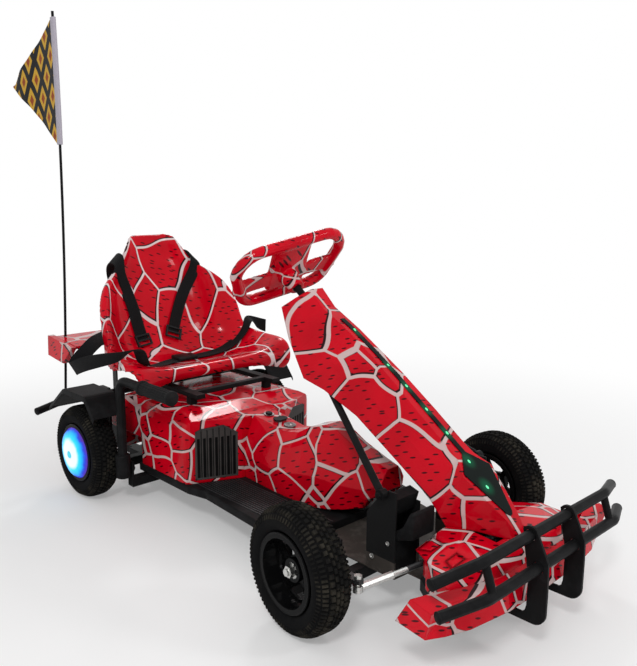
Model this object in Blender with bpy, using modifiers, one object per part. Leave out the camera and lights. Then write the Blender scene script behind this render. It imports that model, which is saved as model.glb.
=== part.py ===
"""Electric go-kart: steel frame, moulded covers, steered front wheels, hub-motor rear wheels.

Metres, +Z up. The nose points along -Y and the driver's right hand is on -X. Sizes are in
kart coordinates, with y = 0 on the front axle; ORIGIN_SHIFT then moves the whole kart along Y,
so that the origin lies on the ground under the middle of its outer box.
"""
import math

import bmesh
import bpy
from mathutils import Matrix, Vector
from mathutils.bvhtree import BVHTree

ORIGIN_SHIFT = -0.5265
GAP = 0.0003
WALL = 0.003

# Wheels
TYRE_RADIUS = 0.130
WHEELBASE = 0.9136
FRONT_TYRE_WIDTH = 0.079
REAR_TYRE_WIDTH = 0.075
FRONT_WHEEL_X = 0.3333
REAR_WHEEL_X = 0.3139
RIM_RADIUS = 0.073
FLANGE_RADIUS = 0.0795
LIP_INSET = 0.0048
WHEEL_STEPS = 24
SPOKES = 5

# Steering, as it stands in the photograph: turned a little to the driver's right
STEERING_WHEEL_TURN = math.radians(-15.0)
KINGPIN_X = 0.262
KINGPIN_RADIUS = 0.006
KNUCKLE_HALF = 0.0130
STUB_RADIUS = 0.0075
ARM_LENGTH = 0.085
ARM_INSET = 0.009
ARM_LOW = 0.110
ARM_HIGH = 0.118
PITMAN_LENGTH = 0.024
PITMAN_HALF_SPREAD = 0.014
PITMAN_STATION = 0.757
PITMAN_PLATE = 0.006
OPEN_PIVOT_GAP = 0.0024
ROAD_WHEEL_TURN = math.radians(-5.3)
TIE_ROD_RADIUS = 0.006

# Steering column: a straight axis from the boss of the wheel down to the nose
COLUMN_SLOPE = math.radians(37.5)
BOSS_BOTTOM = Vector((0.0, 0.379, 0.6145))
SHAFT_RADIUS = 0.009
SHAFT_LENGTH = PITMAN_STATION + 0.010
COLUMN_TUBE_RADIUS = 0.017
STAY_OFFSET = 0.072
RIM_TUBE_RADIUS = 0.0150
RIM_HALF_WIDTH = 0.152
RIM_TOP = 0.104
RIM_BOTTOM = -0.064

# Steel frame
TUBE = 0.025
RAIL_X = 0.130
FRONT_RAIL_X = 0.052
RAIL_LOW = 0.0527
RAIL_HIGH = RAIL_LOW + TUBE
RAIL_FRONT = -0.268
TRAY_FRONT = 0.150
RAIL_REAR = WHEELBASE + 0.0714
REAR_POST_X = 0.120
REAR_POST_TOP = 0.2087
SEAT_LEG = 0.020
SEAT_LEG_TOP = 0.3047
SEAT_LEG_Y = (WHEELBASE - 0.2536, WHEELBASE - 0.0086)
NOSE_CROSS_Y = -0.200
BEARING_POST = (0.0125, -0.200, -0.180)
UPRIGHT_X = 0.2450
UPRIGHT_PLATE = 0.005
AXLE_RADIUS = 0.006

# Tray and covers
TRAY_LOW = RAIL_HIGH + GAP
TRAY_HIGH = 0.100
TRAY_REAR = WHEELBASE - 0.1136
PLATE_HIGH = TRAY_LOW + 0.003
BODY_LOW = TRAY_HIGH + GAP
BODY_HALF_WIDTH = 0.214
BODY_TOP = 0.283
BODY_INNER_X = 0.075
BODY_INNER_Y = 0.512
BODY_CORNER_Y = 0.570
BODY_REAR = WHEELBASE + 0.0364
ARCH_FRONT = WHEELBASE - 0.1286
ARCH_HIGH = 0.176
GRILLE_BARS = 7
NOSE_TRAY_HIGH = 0.1177
NOSE_REAR = -0.150

# Bumper
BAR_RADIUS = 0.011
UPPER_BAR = ((0.0, -0.337, 0.234), (0.221, -0.337, 0.234), (0.321, -0.304, 0.216))
LOWER_BAR = ((0.0, -0.357, 0.177), (0.232, -0.357, 0.177), (0.322, -0.322, 0.165))
BAR_UPRIGHT_X = 0.215
HOOK_PLATE = 0.006

# Pedals
PEDAL_INNER_X = 0.0785
PEDAL_OUTER_X = 0.1565
GUSSET = 0.004
PEDAL_PIVOT = (-0.028, 0.108)
PEDAL_TOP = (-0.070, 0.252)
PEDAL_PLATE = 0.012

# Seat
RAIL_STEP = 0.012
SEAT_WALL = 0.006
STRAP_WIDTH = 0.038
STRAP_THICKNESS = 0.0024

# Lever at the driver's right
LEVER_X = -0.285
LEVER_PIVOT = (WHEELBASE - 0.1476, 0.105)
LEVER_TOP = 0.356
LEVER_RADIUS = 0.0125
GRIP_RADIUS = 0.018
GRIP_REAR = LEVER_PIVOT[0] - 0.111
GRIP_FRONT = GRIP_REAR - 0.143

# Rear bar and flag
REAR_BAR_Y = WHEELBASE + 0.2064
REAR_BAR_Z = 0.220
FLAG_X = -0.272
POLE_RADIUS = 0.004
POLE_BEND = (-0.2393, REAR_BAR_Y, 0.800)
POLE_TOP = (-0.2474, REAR_BAR_Y, 1.335)
HOIST_LOW = 0.665
HOIST_HIGH = 0.985
PENNANT_TIP = (-0.232, REAR_BAR_Y + 0.320, 1.166)
# Sleeve round the pole: half width across and along the kart
SLEEVE = (0.0058, 0.0125)
CLOTH_THICKNESS = 0.0014
FOLD_DEPTH = 0.012


def clear_scene():
    for obj in list(bpy.data.objects):
        bpy.data.objects.remove(obj, do_unlink=True)


clear_scene()
PARTS = bpy.data.collections.new("electric_go_kart")
bpy.context.scene.collection.children.link(PARTS)
ROOT = bpy.data.objects.new("kart_origin", None)
ROOT.location = (0.0, ORIGIN_SHIFT, 0.0)
PARTS.objects.link(ROOT)


def material(name, rgb, roughness, metallic=0.0):
    made = bpy.data.materials.new(name)
    made.use_nodes = True
    shader = made.node_tree.nodes["Principled BSDF"]
    shader.inputs["Base Color"].default_value = (*rgb, 1.0)
    shader.inputs["Roughness"].default_value = roughness
    shader.inputs["Metallic"].default_value = metallic
    return made


RED = material("gloss_red_plastic", (0.55, 0.0, 0.012), 0.15)
BLACK = material("black_plastic", (0.012, 0.012, 0.013), 0.45)
STEEL = material("black_painted_steel", (0.010, 0.010, 0.011), 0.35)
RUBBER = material("tyre_rubber", (0.018, 0.018, 0.018), 0.80)
ZINC = material("zinc_plate", (0.55, 0.55, 0.52), 0.30, 1.0)
PLATE = material("grey_steel_plate", (0.09, 0.08, 0.07), 0.50, 0.6)
SMOKED = material("smoked_lens", (0.01, 0.015, 0.012), 0.10)
LAMP = material("lit_disc", (0.10, 0.55, 0.80), 0.20)
WEBBING = material("black_webbing", (0.012, 0.012, 0.012), 0.85)
CLOTH = material("pennant_cloth", (0.02, 0.02, 0.02), 0.85)
GREY = material("dark_grey_case", (0.05, 0.05, 0.055), 0.50)


def new_object(mesh, name="shape"):
    obj = bpy.data.objects.new(name, mesh)
    bpy.context.scene.collection.objects.link(obj)
    return obj


def from_bmesh(bm):
    bmesh.ops.recalc_face_normals(bm, faces=bm.faces)
    mesh = bpy.data.meshes.new("shape")
    bm.to_mesh(mesh)
    bm.free()
    return new_object(mesh)


def baked(obj):
    """Apply modifiers, weld, and turn the faces outwards; a curve becomes a mesh object."""
    bpy.context.view_layer.update()
    depsgraph = bpy.context.evaluated_depsgraph_get()
    mesh = bpy.data.meshes.new_from_object(obj.evaluated_get(depsgraph))
    matrix = obj.matrix_world.copy()
    bpy.data.objects.remove(obj, do_unlink=True)
    bm = bmesh.new()
    bm.from_mesh(mesh)
    bmesh.ops.remove_doubles(bm, verts=bm.verts, dist=0.00001)
    bmesh.ops.recalc_face_normals(bm, faces=bm.faces)
    bm.to_mesh(mesh)
    bm.free()
    made = new_object(mesh)
    made.matrix_world = matrix
    return made


def moved(obj, matrix):
    obj.data.transform(matrix)
    if matrix.determinant() < 0.0:
        obj.data.flip_normals()
    return obj


def rounded(obj, width, segments=2, angle=30.0):
    bevel = obj.modifiers.new("round", "BEVEL")
    bevel.width = width
    bevel.segments = segments
    bevel.limit_method = "ANGLE"
    bevel.angle_limit = math.radians(angle)
    return baked(obj)


def box(low, high, bevel=0.0):
    bm = bmesh.new()
    bmesh.ops.create_cube(bm, size=1.0)
    bmesh.ops.scale(bm, vec=Vector(high) - Vector(low), verts=bm.verts)
    bmesh.ops.translate(bm, vec=(Vector(high) + Vector(low)) / 2.0, verts=bm.verts)
    obj = from_bmesh(bm)
    return rounded(obj, bevel) if bevel else obj


def sided_box(side, near, far, y_range, z_range, bevel=0.0):
    """Box from |x| = near to far on one side of the kart."""
    xs = sorted((side * near, side * far))
    return box((xs[0], y_range[0], z_range[0]), (xs[1], y_range[1], z_range[1]), bevel)


def rod(start, end, radius, sides=16):
    start, end = Vector(start), Vector(end)
    bm = bmesh.new()
    bmesh.ops.create_cone(bm, cap_ends=True, segments=sides, radius1=radius, radius2=radius,
                          depth=(end - start).length)
    turn = Vector((0, 0, 1)).rotation_difference(end - start).to_matrix().to_4x4()
    bmesh.ops.transform(bm, matrix=Matrix.Translation((start + end) / 2.0) @ turn, verts=bm.verts)
    return from_bmesh(bm)


def turned(profile, steps=WHEEL_STEPS, closed=True):
    """Revolve (radius, height) points about Z with a Screw modifier."""
    mesh = bpy.data.meshes.new("profile")
    last = len(profile)
    edges = [(i, i + 1) for i in range(last - 1)]
    if closed:
        edges.append((last - 1, 0))
    mesh.from_pydata([(r, 0.0, h) for r, h in profile], edges, [])
    obj = new_object(mesh)
    screw = obj.modifiers.new("turn", "SCREW")
    screw.steps = steps
    screw.render_steps = steps
    screw.use_merge_vertices = True
    screw.merge_threshold = 0.00001
    return baked(obj)


def bent(points, radius, steps=4):
    """Polyline with each inner corner replaced by an arc-like curve of the given radius."""
    points = [Vector(p) for p in points]
    path = [points[0]]
    for before, corner, after in zip(points, points[1:], points[2:]):
        into, out = (corner - before).normalized(), (after - corner).normalized()
        cut = min(radius * math.tan(into.angle(out) / 2.0), 0.45 * (corner - before).length,
                  0.45 * (after - corner).length)
        start, end = corner - into * cut, corner + out * cut
        for step in range(steps + 1):
            t = step / steps
            path.append(start * (1 - t) ** 2 + corner * 2 * t * (1 - t) + end * t ** 2)
    path.append(points[-1])
    return path


def tube(points, radius, resolution=4, cyclic=False):
    curve = bpy.data.curves.new("path", "CURVE")
    curve.dimensions = "3D"
    curve.bevel_depth = radius
    curve.bevel_resolution = resolution
    curve.use_fill_caps = True
    spline = curve.splines.new("POLY")
    spline.points.add(len(points) - 1)
    for point, place in zip(spline.points, points):
        point.co = (*place, 1.0)
    spline.use_cyclic_u = cyclic
    return baked(new_object(curve))


def flat(outline, thickness):
    """Prism of an outline in XY, centred on z = 0."""
    curve = bpy.data.curves.new("outline", "CURVE")
    curve.dimensions = "2D"
    curve.fill_mode = "BOTH"
    curve.extrude = thickness / 2.0
    spline = curve.splines.new("POLY")
    spline.points.add(len(outline) - 1)
    for point, place in zip(spline.points, outline):
        point.co = (place[0], place[1], 0.0, 1.0)
    spline.use_cyclic_u = True
    return baked(new_object(curve))


def standing(outline, x_low, x_high):
    """Prism of an outline in (y, z), between two x values."""
    obj = flat(outline, x_high - x_low)
    axes = Matrix(((0, 0, 1, (x_low + x_high) / 2), (1, 0, 0, 0), (0, 1, 0, 0), (0, 0, 0, 1)))
    return moved(obj, axes)


def lying(outline, z_low, z_high):
    """Prism of an outline in (x, y), between two heights."""
    return moved(flat(outline, z_high - z_low), Matrix.Translation((0, 0, (z_low + z_high) / 2)))


def facing(outline, y_low, y_high):
    """Prism of an outline in (x, z), between two y values."""
    obj = flat(outline, y_high - y_low)
    axes = Matrix(((1, 0, 0, 0), (0, 0, 1, (y_low + y_high) / 2), (0, 1, 0, 0), (0, 0, 0, 1)))
    return moved(obj, axes)


def both_sides(points):
    """Outline that is symmetric about x = 0, from its half at +X."""
    return list(points) + [(-p[0], *p[1:]) for p in reversed(points) if abs(p[0]) > 1e-9]


def arc(centre, radius, start, end, steps=6):
    """Points of an arc in a plane, angles in degrees."""
    turns = [math.radians(start + (end - start) * i / steps) for i in range(steps + 1)]
    return [(centre[0] + radius * math.cos(t), centre[1] + radius * math.sin(t)) for t in turns]


def combine(obj, others, operation):
    for other in others:
        modifier = obj.modifiers.new("join", "BOOLEAN")
        modifier.operation = operation
        modifier.solver = "EXACT"
        modifier.object = other
    made = baked(obj)
    for other in others:
        bpy.data.objects.remove(other, do_unlink=True)
    return made


def union(objects):
    made = objects[0]
    for other in objects[1:]:
        made = combine(made, [other], "UNION")
    return made


def cut(obj, cutters):
    return combine(obj, cutters, "DIFFERENCE")


def loft(sections):
    """Closed solid through sections that have the same number of points."""
    bm = bmesh.new()
    rings = [[bm.verts.new(p) for p in section] for section in sections]
    for first, second in zip(rings, rings[1:]):
        for i in range(len(first)):
            j = (i + 1) % len(first)
            bm.faces.new((first[i], first[j], second[j], second[i]))
    bm.faces.new(rings[0])
    bm.faces.new(rings[-1])
    bmesh.ops.triangulate(bm, faces=[f for f in bm.faces if len(f.verts) > 4])
    return from_bmesh(bm)


def sheet(rows, thickness, side=0.0, extra=()):
    """Grid of points thickened with Solidify: side -1 inwards, 0 both ways, 1 outwards.

    Outwards is away from the middle of the points; extra closes cells by their index.
    """
    bm = bmesh.new()
    grid = [[bm.verts.new(p) for p in row] for row in rows]
    for upper, lower in zip(grid, grid[1:]):
        for i in range(len(upper) - 1):
            bm.faces.new((upper[i], upper[i + 1], lower[i + 1], lower[i]))
    for cells in extra:
        bm.faces.new([grid[r][c] for r, c in cells])
    bmesh.ops.recalc_face_normals(bm, faces=bm.faces)
    middle = sum((v.co for v in bm.verts), Vector()) / len(bm.verts)
    spread = sum(f.normal.dot(f.calc_center_median() - middle) * f.calc_area() for f in bm.faces)
    if spread < 0.0:
        bmesh.ops.reverse_faces(bm, faces=bm.faces)
    mesh = bpy.data.meshes.new("sheet")
    bm.to_mesh(mesh)
    bm.free()
    obj = new_object(mesh)
    solidify = obj.modifiers.new("wall", "SOLIDIFY")
    solidify.thickness = thickness
    solidify.offset = side
    solidify.use_even_offset = True
    return baked(obj)


def pivot(name, location, turn=None, parent=ROOT):
    """Empty on a joint's axis."""
    empty = bpy.data.objects.new(name, None)
    empty.empty_display_size = 0.03
    PARTS.objects.link(empty)
    empty.parent = parent
    empty.matrix_basis = Matrix.Translation(location) @ (turn or Matrix.Identity(4))
    return empty


def place(obj, name, look, parent=ROOT, smooth=35.0):
    """Name the piece, give it its material and put it among the parts."""
    obj.name = name
    obj.data.name = name
    obj.data.materials.clear()
    obj.data.materials.append(look)
    obj.data.shade_smooth()
    obj.data.set_sharp_from_angle(angle=math.radians(smooth))
    bpy.context.scene.collection.objects.unlink(obj)
    PARTS.objects.link(obj)
    obj.parent = parent
    return obj


def shifted(obj, vector):
    return moved(obj, Matrix.Translation(vector))


SIDES = ((-1, "right"), (1, "left"))
HALF = TUBE / 2.0


# Column coordinates: local Z runs up the axis from the boss, local Y points down and back
COLUMN = (Matrix.Translation(BOSS_BOTTOM)
          @ Matrix.Rotation(COLUMN_SLOPE - math.pi / 2.0, 4, "X"))


def down_column(station, offset=0.0, x=0.0):
    """Point a distance down the axis from the boss, offset towards the lap, in kart places."""
    return COLUMN @ Vector((x, offset, -station))


def chassis_frame():
    pieces = []
    for side, _ in SIDES:
        def rail(x, y_range, z_range=(RAIL_LOW, RAIL_HIGH), half=HALF):
            return box((side * x - half, y_range[0], z_range[0]),
                       (side * x + half, y_range[1], z_range[1]))
        pieces.append(rail(RAIL_X, (TRAY_FRONT - 0.020, RAIL_REAR)))
        pieces.append(rail(FRONT_RAIL_X, (RAIL_FRONT, TRAY_FRONT)))
        pieces.append(rail(REAR_POST_X, (RAIL_REAR - 0.010, REAR_BAR_Y + 0.012)))
        pieces.append(rail(REAR_POST_X, (REAR_BAR_Y - 0.044, REAR_BAR_Y + 0.012),
                           (RAIL_LOW, REAR_POST_TOP)))
        for y in SEAT_LEG_Y:
            pieces.append(rail(RAIL_X, (y - SEAT_LEG / 2, y + SEAT_LEG / 2),
                               (RAIL_LOW, SEAT_LEG_TOP), SEAT_LEG / 2))
    for y, half_width in ((TRAY_FRONT - 0.0075, RAIL_X + HALF), (0.5125, RAIL_X),
                          (RAIL_REAR - HALF, RAIL_X + HALF), (WHEELBASE, UPRIGHT_X + 0.003),
                          (0.0, KINGPIN_X - 0.020), (NOSE_CROSS_Y, 0.190)):
        pieces.append(box((-half_width, y - HALF, RAIL_LOW), (half_width, y + HALF, RAIL_HIGH)))
    frame = union(pieces)
    extras, cutters = [], []
    for side, _ in SIDES:
        web = KINGPIN_X - 0.0280
        extras.append(sided_box(side, web, web + 0.010, (-0.016, 0.016), (RAIL_LOW, 0.165)))
        for low, high in ((0.095, 0.100), (0.160, 0.165)):
            extras.append(sided_box(side, web, KINGPIN_X + 0.0165, (-0.016, 0.016), (low, high)))
        cutters.append(rod((side * KINGPIN_X, 0, 0.09), (side * KINGPIN_X, 0, 0.17),
                           KINGPIN_RADIUS + GAP))
        outer = UPRIGHT_X + UPRIGHT_PLATE
        extras.append(sided_box(side, UPRIGHT_X, outer, (WHEELBASE - 0.022, WHEELBASE + 0.022),
                                (RAIL_LOW, 0.3020)))
        extras.append(sided_box(side, UPRIGHT_X, 0.300, (WHEELBASE - 0.022, WHEELBASE + 0.022),
                                (0.2990, 0.3020)))
        cutters.append(rod((side * (UPRIGHT_X - 0.01), WHEELBASE, TYRE_RADIUS),
                           (side * (outer + 0.01), WHEELBASE, TYRE_RADIUS), AXLE_RADIUS + GAP))
    lever_y, lever_z = LEVER_PIVOT
    extras.append(box((LEVER_X + 0.0230, lever_y - HALF, RAIL_LOW),
                      (-RAIL_X, lever_y + HALF, RAIL_HIGH)))
    extras.append(box((LEVER_X + 0.0205, lever_y - HALF, RAIL_LOW),
                      (LEVER_X + 0.0255, lever_y + HALF, lever_z + 0.020)))
    cutters.append(rod((LEVER_X, lever_y, lever_z), (LEVER_X + 0.04, lever_y, lever_z), 0.0063))
    frame = union([frame] + extras)
    frame = cut(frame, cutters)
    return place(frame, "chassis_frame", STEEL)


def floor_tray():
    half = ((0.195, TRAY_FRONT), (0.219, 0.270), (0.203, 0.500), (BODY_HALF_WIDTH + 0.003, 0.560),
            (BODY_HALF_WIDTH + 0.003, TRAY_REAR))
    tray = rounded(lying(both_sides(half), TRAY_LOW, TRAY_HIGH), 0.004, 2, 50.0)
    place(cut(tray, leg_holes(SEAT_LEG_Y[:1], 0.05, 0.12)), "floor_tray", BLACK)


def open_shell(solid, wall):
    """Take off the faces that look down and thicken what is left inwards."""
    bm = bmesh.new()
    bm.from_mesh(solid.data)
    downward = [face for face in bm.faces if face.normal.z < -0.95]
    bmesh.ops.delete(bm, geom=downward, context="FACES")
    bm.to_mesh(solid.data)
    bm.free()
    solidify = solid.modifiers.new("wall", "SOLIDIFY")
    solidify.thickness = wall
    solidify.offset = -1.0
    solidify.use_even_offset = True
    return baked(solid)


def body_shell():
    """Rear body as the meeting of its plan, cross-section and side outlines, then hollowed."""
    half, top = BODY_HALF_WIDTH, BODY_TOP
    over = 0.02
    plan = ((BODY_INNER_X, BODY_INNER_Y), (half - 0.012, BODY_CORNER_Y - 0.005),
            (half - 0.002, BODY_CORNER_Y + 0.002), (half + 0.001, BODY_CORNER_Y + 0.016),
            (half + 0.001, BODY_REAR))
    section = ((half, BODY_LOW - over), (half, top - 0.038), (half - 0.006, top - 0.022),
               (half - 0.022, top - 0.008), (half - 0.050, top))
    side = ((BODY_INNER_Y - over, BODY_LOW - 2 * over), (BODY_INNER_Y - over, top - 0.019),
            (BODY_CORNER_Y - 0.010, top - 0.015), (BODY_CORNER_Y + 0.045, top + 0.001),
            (BODY_REAR - 0.070, top + 0.001), (BODY_REAR + 0.002, top - 0.038),
            (BODY_REAR + 0.002, BODY_LOW - 2 * over))
    solid = lying(both_sides(plan), BODY_LOW, top + over)
    solid = combine(solid, [facing(both_sides(section), BODY_INNER_Y - 0.06, BODY_REAR + 0.10)], "INTERSECT")
    solid = combine(solid, [standing(side, -half - 0.1, half + 0.1)], "INTERSECT")
    return open_shell(solid, WALL)


def grille_outline(side, grow, inner_grow):
    """Grille opening in (along the slanted wall, z), and the wall's matrix."""
    run = Vector((BODY_HALF_WIDTH - BODY_INNER_X, BODY_CORNER_Y - BODY_INNER_Y, 0.0))
    along = run.normalized()
    length = run.length
    inner = 0.012 - inner_grow
    points = ((inner, 0.108 - grow), (length - 0.024 + grow, 0.108 - grow),
              (length - 0.026 + grow, 0.240 + grow), (length - 0.040, 0.246 + grow),
              (0.050, 0.252 + grow), (inner, 0.228 + grow))
    normal = Vector((along.y, -along.x, 0.0))
    axes = Matrix(((along.x, 0, normal.x, BODY_INNER_X), (along.y, 0, normal.y, BODY_INNER_Y),
                   (0, 1, 0, 0), (0, 0, 0, 1)))
    mirror = Matrix.Scale(-1.0 if side < 0 else 1.0, 4, (1, 0, 0))
    return points, mirror @ axes, length


def leg_holes(rows, z_low, z_high):
    """Cutters for the seat legs, with a gap all round."""
    half = SEAT_LEG / 2 + GAP
    return [box((side * RAIL_X - half, y - half, z_low), (side * RAIL_X + half, y + half, z_high))
            for side, _ in SIDES for y in rows]


def rear_body():
    cutters = leg_holes(SEAT_LEG_Y, 0.20, 0.30)
    for side, _ in SIDES:
        outline, axes, _ = grille_outline(side, GAP, GAP)
        cutters.append(moved(flat(outline, 0.04), axes))
        cutters.append(sided_box(side, BODY_HALF_WIDTH - 0.030, BODY_HALF_WIDTH + 0.02,
                                 (ARCH_FRONT, BODY_REAR + 0.01), (BODY_LOW - 0.01, ARCH_HIGH)))
    place(cut(body_shell(), cutters), "rear_body_cover", RED)


def front_grille():
    """One moulding behind the front wall: a louvred panel on each side and a strip between."""
    wall = BODY_INNER_Y + WALL + GAP
    moulding = [box((-BODY_INNER_X, wall, 0.190), (BODY_INNER_X, wall + 0.0042, 0.222))]
    for side, _ in SIDES:
        outline, axes, length = grille_outline(side, 0.004, 0.011)
        bars = [shifted(flat(outline, 0.0026), (0, 0, -0.0050))]
        first, last = 0.022, length - 0.034
        for i in range(GRILLE_BARS):
            u = first + (last - first) * i / (GRILLE_BARS - 1)
            bars.append(box((u - 0.0035, 0.114, -0.0050), (u + 0.0035, 0.220, -0.0005)))
        moulding.append(moved(union(bars), axes))
    place(union(moulding), "front_grille", BLACK)


# Tunnel stations: y, half width at the foot, foot height, top height, flat half width on top
TUNNEL = ((0.5117, 0.066, BODY_LOW, 0.266, 0.036), (0.390, 0.075, BODY_LOW, 0.250, 0.034),
          (0.340, 0.076, BODY_LOW, 0.258, 0.032), (0.295, 0.073, BODY_LOW, 0.284, 0.028),
          (0.250, 0.068, BODY_LOW, 0.297, 0.026), (0.215, 0.064, 0.104, 0.294, 0.024),
          (0.160, 0.056, 0.118, 0.268, 0.022), (0.095, 0.048, 0.142, 0.247, 0.020),
          (0.055, 0.034, 0.186, 0.237, 0.018))
PANEL_SLOPE = math.atan2(TUNNEL[0][3] - TUNNEL[1][3], TUNNEL[0][0] - TUNNEL[1][0])


def tunnel_solid(inset):
    sections = []
    for index, (y, foot, low, top, flat_top) in enumerate(TUNNEL):
        if inset:
            low -= 0.05
            if index == len(TUNNEL) - 1:
                y += WALL
        rise = top - max(low, BODY_LOW)
        half = ((foot - inset, low), (foot + 0.004 - inset, max(low, BODY_LOW) + 0.40 * rise),
                (flat_top + 0.62 * (foot - flat_top) - inset, top - 0.22 * rise - inset * 0.5),
                (flat_top - inset * 0.5, top - inset))
        outline = both_sides(half)
        if inset and index == 0:
            sections.append([(x, y + 0.01, z) for x, z in outline])
        sections.append([(x, y, z) for x, z in outline])
    return loft(sections)


def panel_matrix(y, height):
    """Place on the sloping flat of the tunnel, a height above it."""
    z = TUNNEL[1][3] + (y - TUNNEL[1][0]) * math.tan(PANEL_SLOPE)
    turn = Matrix.Rotation(PANEL_SLOPE, 4, "X")
    return Matrix.Translation((0.0, y, z)) @ turn @ Matrix.Translation((0.0, 0.0, height))


BUTTON_Y = 0.492
SOCKET_Y = 0.446
PORT_Y = 0.4080
STEM_RADIUS = 0.006
CAP_HINGE = (0.4600, 0.0032)
HINGE_RADIUS = 0.0026


def tunnel():
    bores = [moved(rod((0, 0, -0.02), (0, 0, 0.02), STEM_RADIUS + GAP, 16), panel_matrix(y, 0.0))
             for y in (BUTTON_Y, SOCKET_Y, PORT_Y)]
    cover = cut(tunnel_solid(0.0), [tunnel_solid(WALL)] + bores)
    place(cover, "tunnel_cover", RED, smooth=25.0)


def stadium(half_length, radius, steps=6):
    return (arc((half_length, 0), radius, -90, 90, steps)
            + arc((-half_length, 0), radius, 90, 270, steps))


def controls():
    """Button bezel, charging socket and key port, held by one plate under the tunnel's skin."""
    under = -WALL - GAP
    bezel = turned(((0.0, 0.0005), (0.0093, 0.0005), (0.0093, 0.0030), (0.0140, 0.0030),
                    (0.0140, GAP), (0.0, GAP)), 20, closed=False)
    port = turned(((0.0, 0.0020), (0.0060, 0.0035), (0.0110, 0.0055), (0.0160, 0.0040),
                   (0.0155, GAP), (0.0, GAP)), 20, closed=False)
    socket = shifted(flat(stadium(0.008, 0.0100), 0.0040), (0, 0, 0.0020 + GAP))
    pieces = []
    for piece, y in ((bezel, BUTTON_Y), (socket, SOCKET_Y), (port, PORT_Y)):
        stem = rod((0, 0, under - 0.001), (0, 0, 0.0004), STEM_RADIUS, 16)
        pieces.append(moved(union([piece, stem]), panel_matrix(y, 0.0)))
    middle = (BUTTON_Y + PORT_Y) / 2
    reach = (BUTTON_Y - PORT_Y) / 2 + 0.010
    strip = box((-0.012, -reach, under - 0.002), (0.012, reach, under))
    pieces.append(moved(strip, panel_matrix(middle, 0.0)))
    hinge_y, height = CAP_HINGE
    knuckle = union([rod((-0.006, 0, 0), (0.006, 0, 0), HINGE_RADIUS, 10),
                     box((-0.006, SOCKET_Y + 0.008 - hinge_y, GAP - height), (0.006, 0.0, 0.0))])
    knuckle = cut(knuckle, [rod((-0.01, 0, 0), (0.01, 0, 0), 0.0010 + GAP, 8)])
    pieces.append(moved(knuckle, panel_matrix(*CAP_HINGE)))
    place(union(pieces), "tunnel_fittings", BLACK)
    seat = pivot("power_button_axis", (0, 0, 0), panel_matrix(BUTTON_Y, 0.0))
    button = turned(((0.0, 0.0070), (0.0080, 0.0070), (0.0090, 0.0060), (0.0090, 0.0028),
                     (0.0, 0.0028)), 20, closed=False)
    place(button, "power_button", BLACK, seat)
    hinge = pivot("charge_cap_axis", (0, 0, 0), panel_matrix(*CAP_HINGE))
    lid = shifted(flat(stadium(0.010, 0.0112), 0.0030), (0, SOCKET_Y - 0.001 - hinge_y, 0.0030))
    pieces = [lid, rod((-0.0105, 0, 0), (0.0105, 0, 0), 0.0010, 8)]
    for side, _ in SIDES:
        xs = sorted((side * 0.0065, side * 0.0105))
        pieces.append(rod((xs[0], 0, 0), (xs[1], 0, 0), HINGE_RADIUS, 10))
        pieces.append(box((xs[0], -0.0060, 0.0015), (xs[1], 0.0, 0.0045)))
    place(union(pieces), "charge_cap", BLACK, hinge)


CASE_FINS = 6


def power_pack():
    battery = box((-0.105, BODY_CORNER_Y + 0.030, BODY_LOW), (0.105, TRAY_REAR - 0.010, 0.205), 0.004)
    place(battery, "battery_pack", GREY)
    front = TRAY_REAR + GAP
    case = box((-0.060, front, RAIL_HIGH + GAP), (0.060, front + 0.085 - GAP, 0.130), 0.003)
    pieces = [case]
    for i in range(CASE_FINS):
        start = TRAY_REAR + 0.008 + 0.012 * i
        pieces.append(box((-0.055, start, 0.129), (0.055, start + 0.003, 0.140)))
    reach = RAIL_X - HALF - GAP
    pieces.append(box((-reach, TRAY_REAR + 0.030, RAIL_LOW + 0.006),
                      (reach, TRAY_REAR + 0.050, RAIL_HIGH + 0.004)))
    place(union(pieces), "motor_controller", ZINC)


# Nose cover stations: y, half width, edge height, crown height
NOSE = ((NOSE_REAR, 0.168, 0.170, 0.187), (-0.205, 0.200, 0.176, 0.188),
        (-0.268, 0.226, 0.160, 0.184), (-0.3115, 0.214, 0.126, 0.150))


def nose_solid(inset):
    sections = []
    for index, (y, half, edge, crown) in enumerate(NOSE):
        low = NOSE_TRAY_HIGH + GAP
        if inset > 0.0:
            low -= 0.02
            y += 0.02 if index == 0 else (WALL if index == len(NOSE) - 1 else 0.0)
        elif inset < 0.0:
            y += -inset if index == 0 else (inset if index == len(NOSE) - 1 else 0.0)
        outline = ((half - inset, low), (half - inset, edge - inset), (0.5 * half, crown - inset))
        sections.append([(x, y, z) for x, z in both_sides(outline)])
    return loft(sections)


# Spoiler stations at +X: lower rear, lower front, upper front and upper rear corners
BLADE = (
    ((0.0, -0.3000, 0.104), (0.0, -0.3360, 0.100),
     (0.0, -0.3290, 0.150), (0.0, -0.3145, 0.160)),
    ((0.12, -0.2980, 0.104), (0.12, -0.3340, 0.100),
     (0.12, -0.3270, 0.152), (0.12, -0.3140, 0.162)),
    ((0.22, -0.2760, 0.106), (0.22, -0.3200, 0.100),
     (0.22, -0.3120, 0.158), (0.225, -0.2880, 0.166)),
    ((0.27, -0.2500, 0.108), (0.27, -0.3030, 0.100),
     (0.27, -0.3040, 0.160), (0.272, -0.2740, 0.171)),
    ((0.310, -0.2220, 0.111), (0.305, -0.2850, 0.100),
     (0.315, -0.3040, 0.160), (0.320, -0.2620, 0.173)),
)


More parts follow.
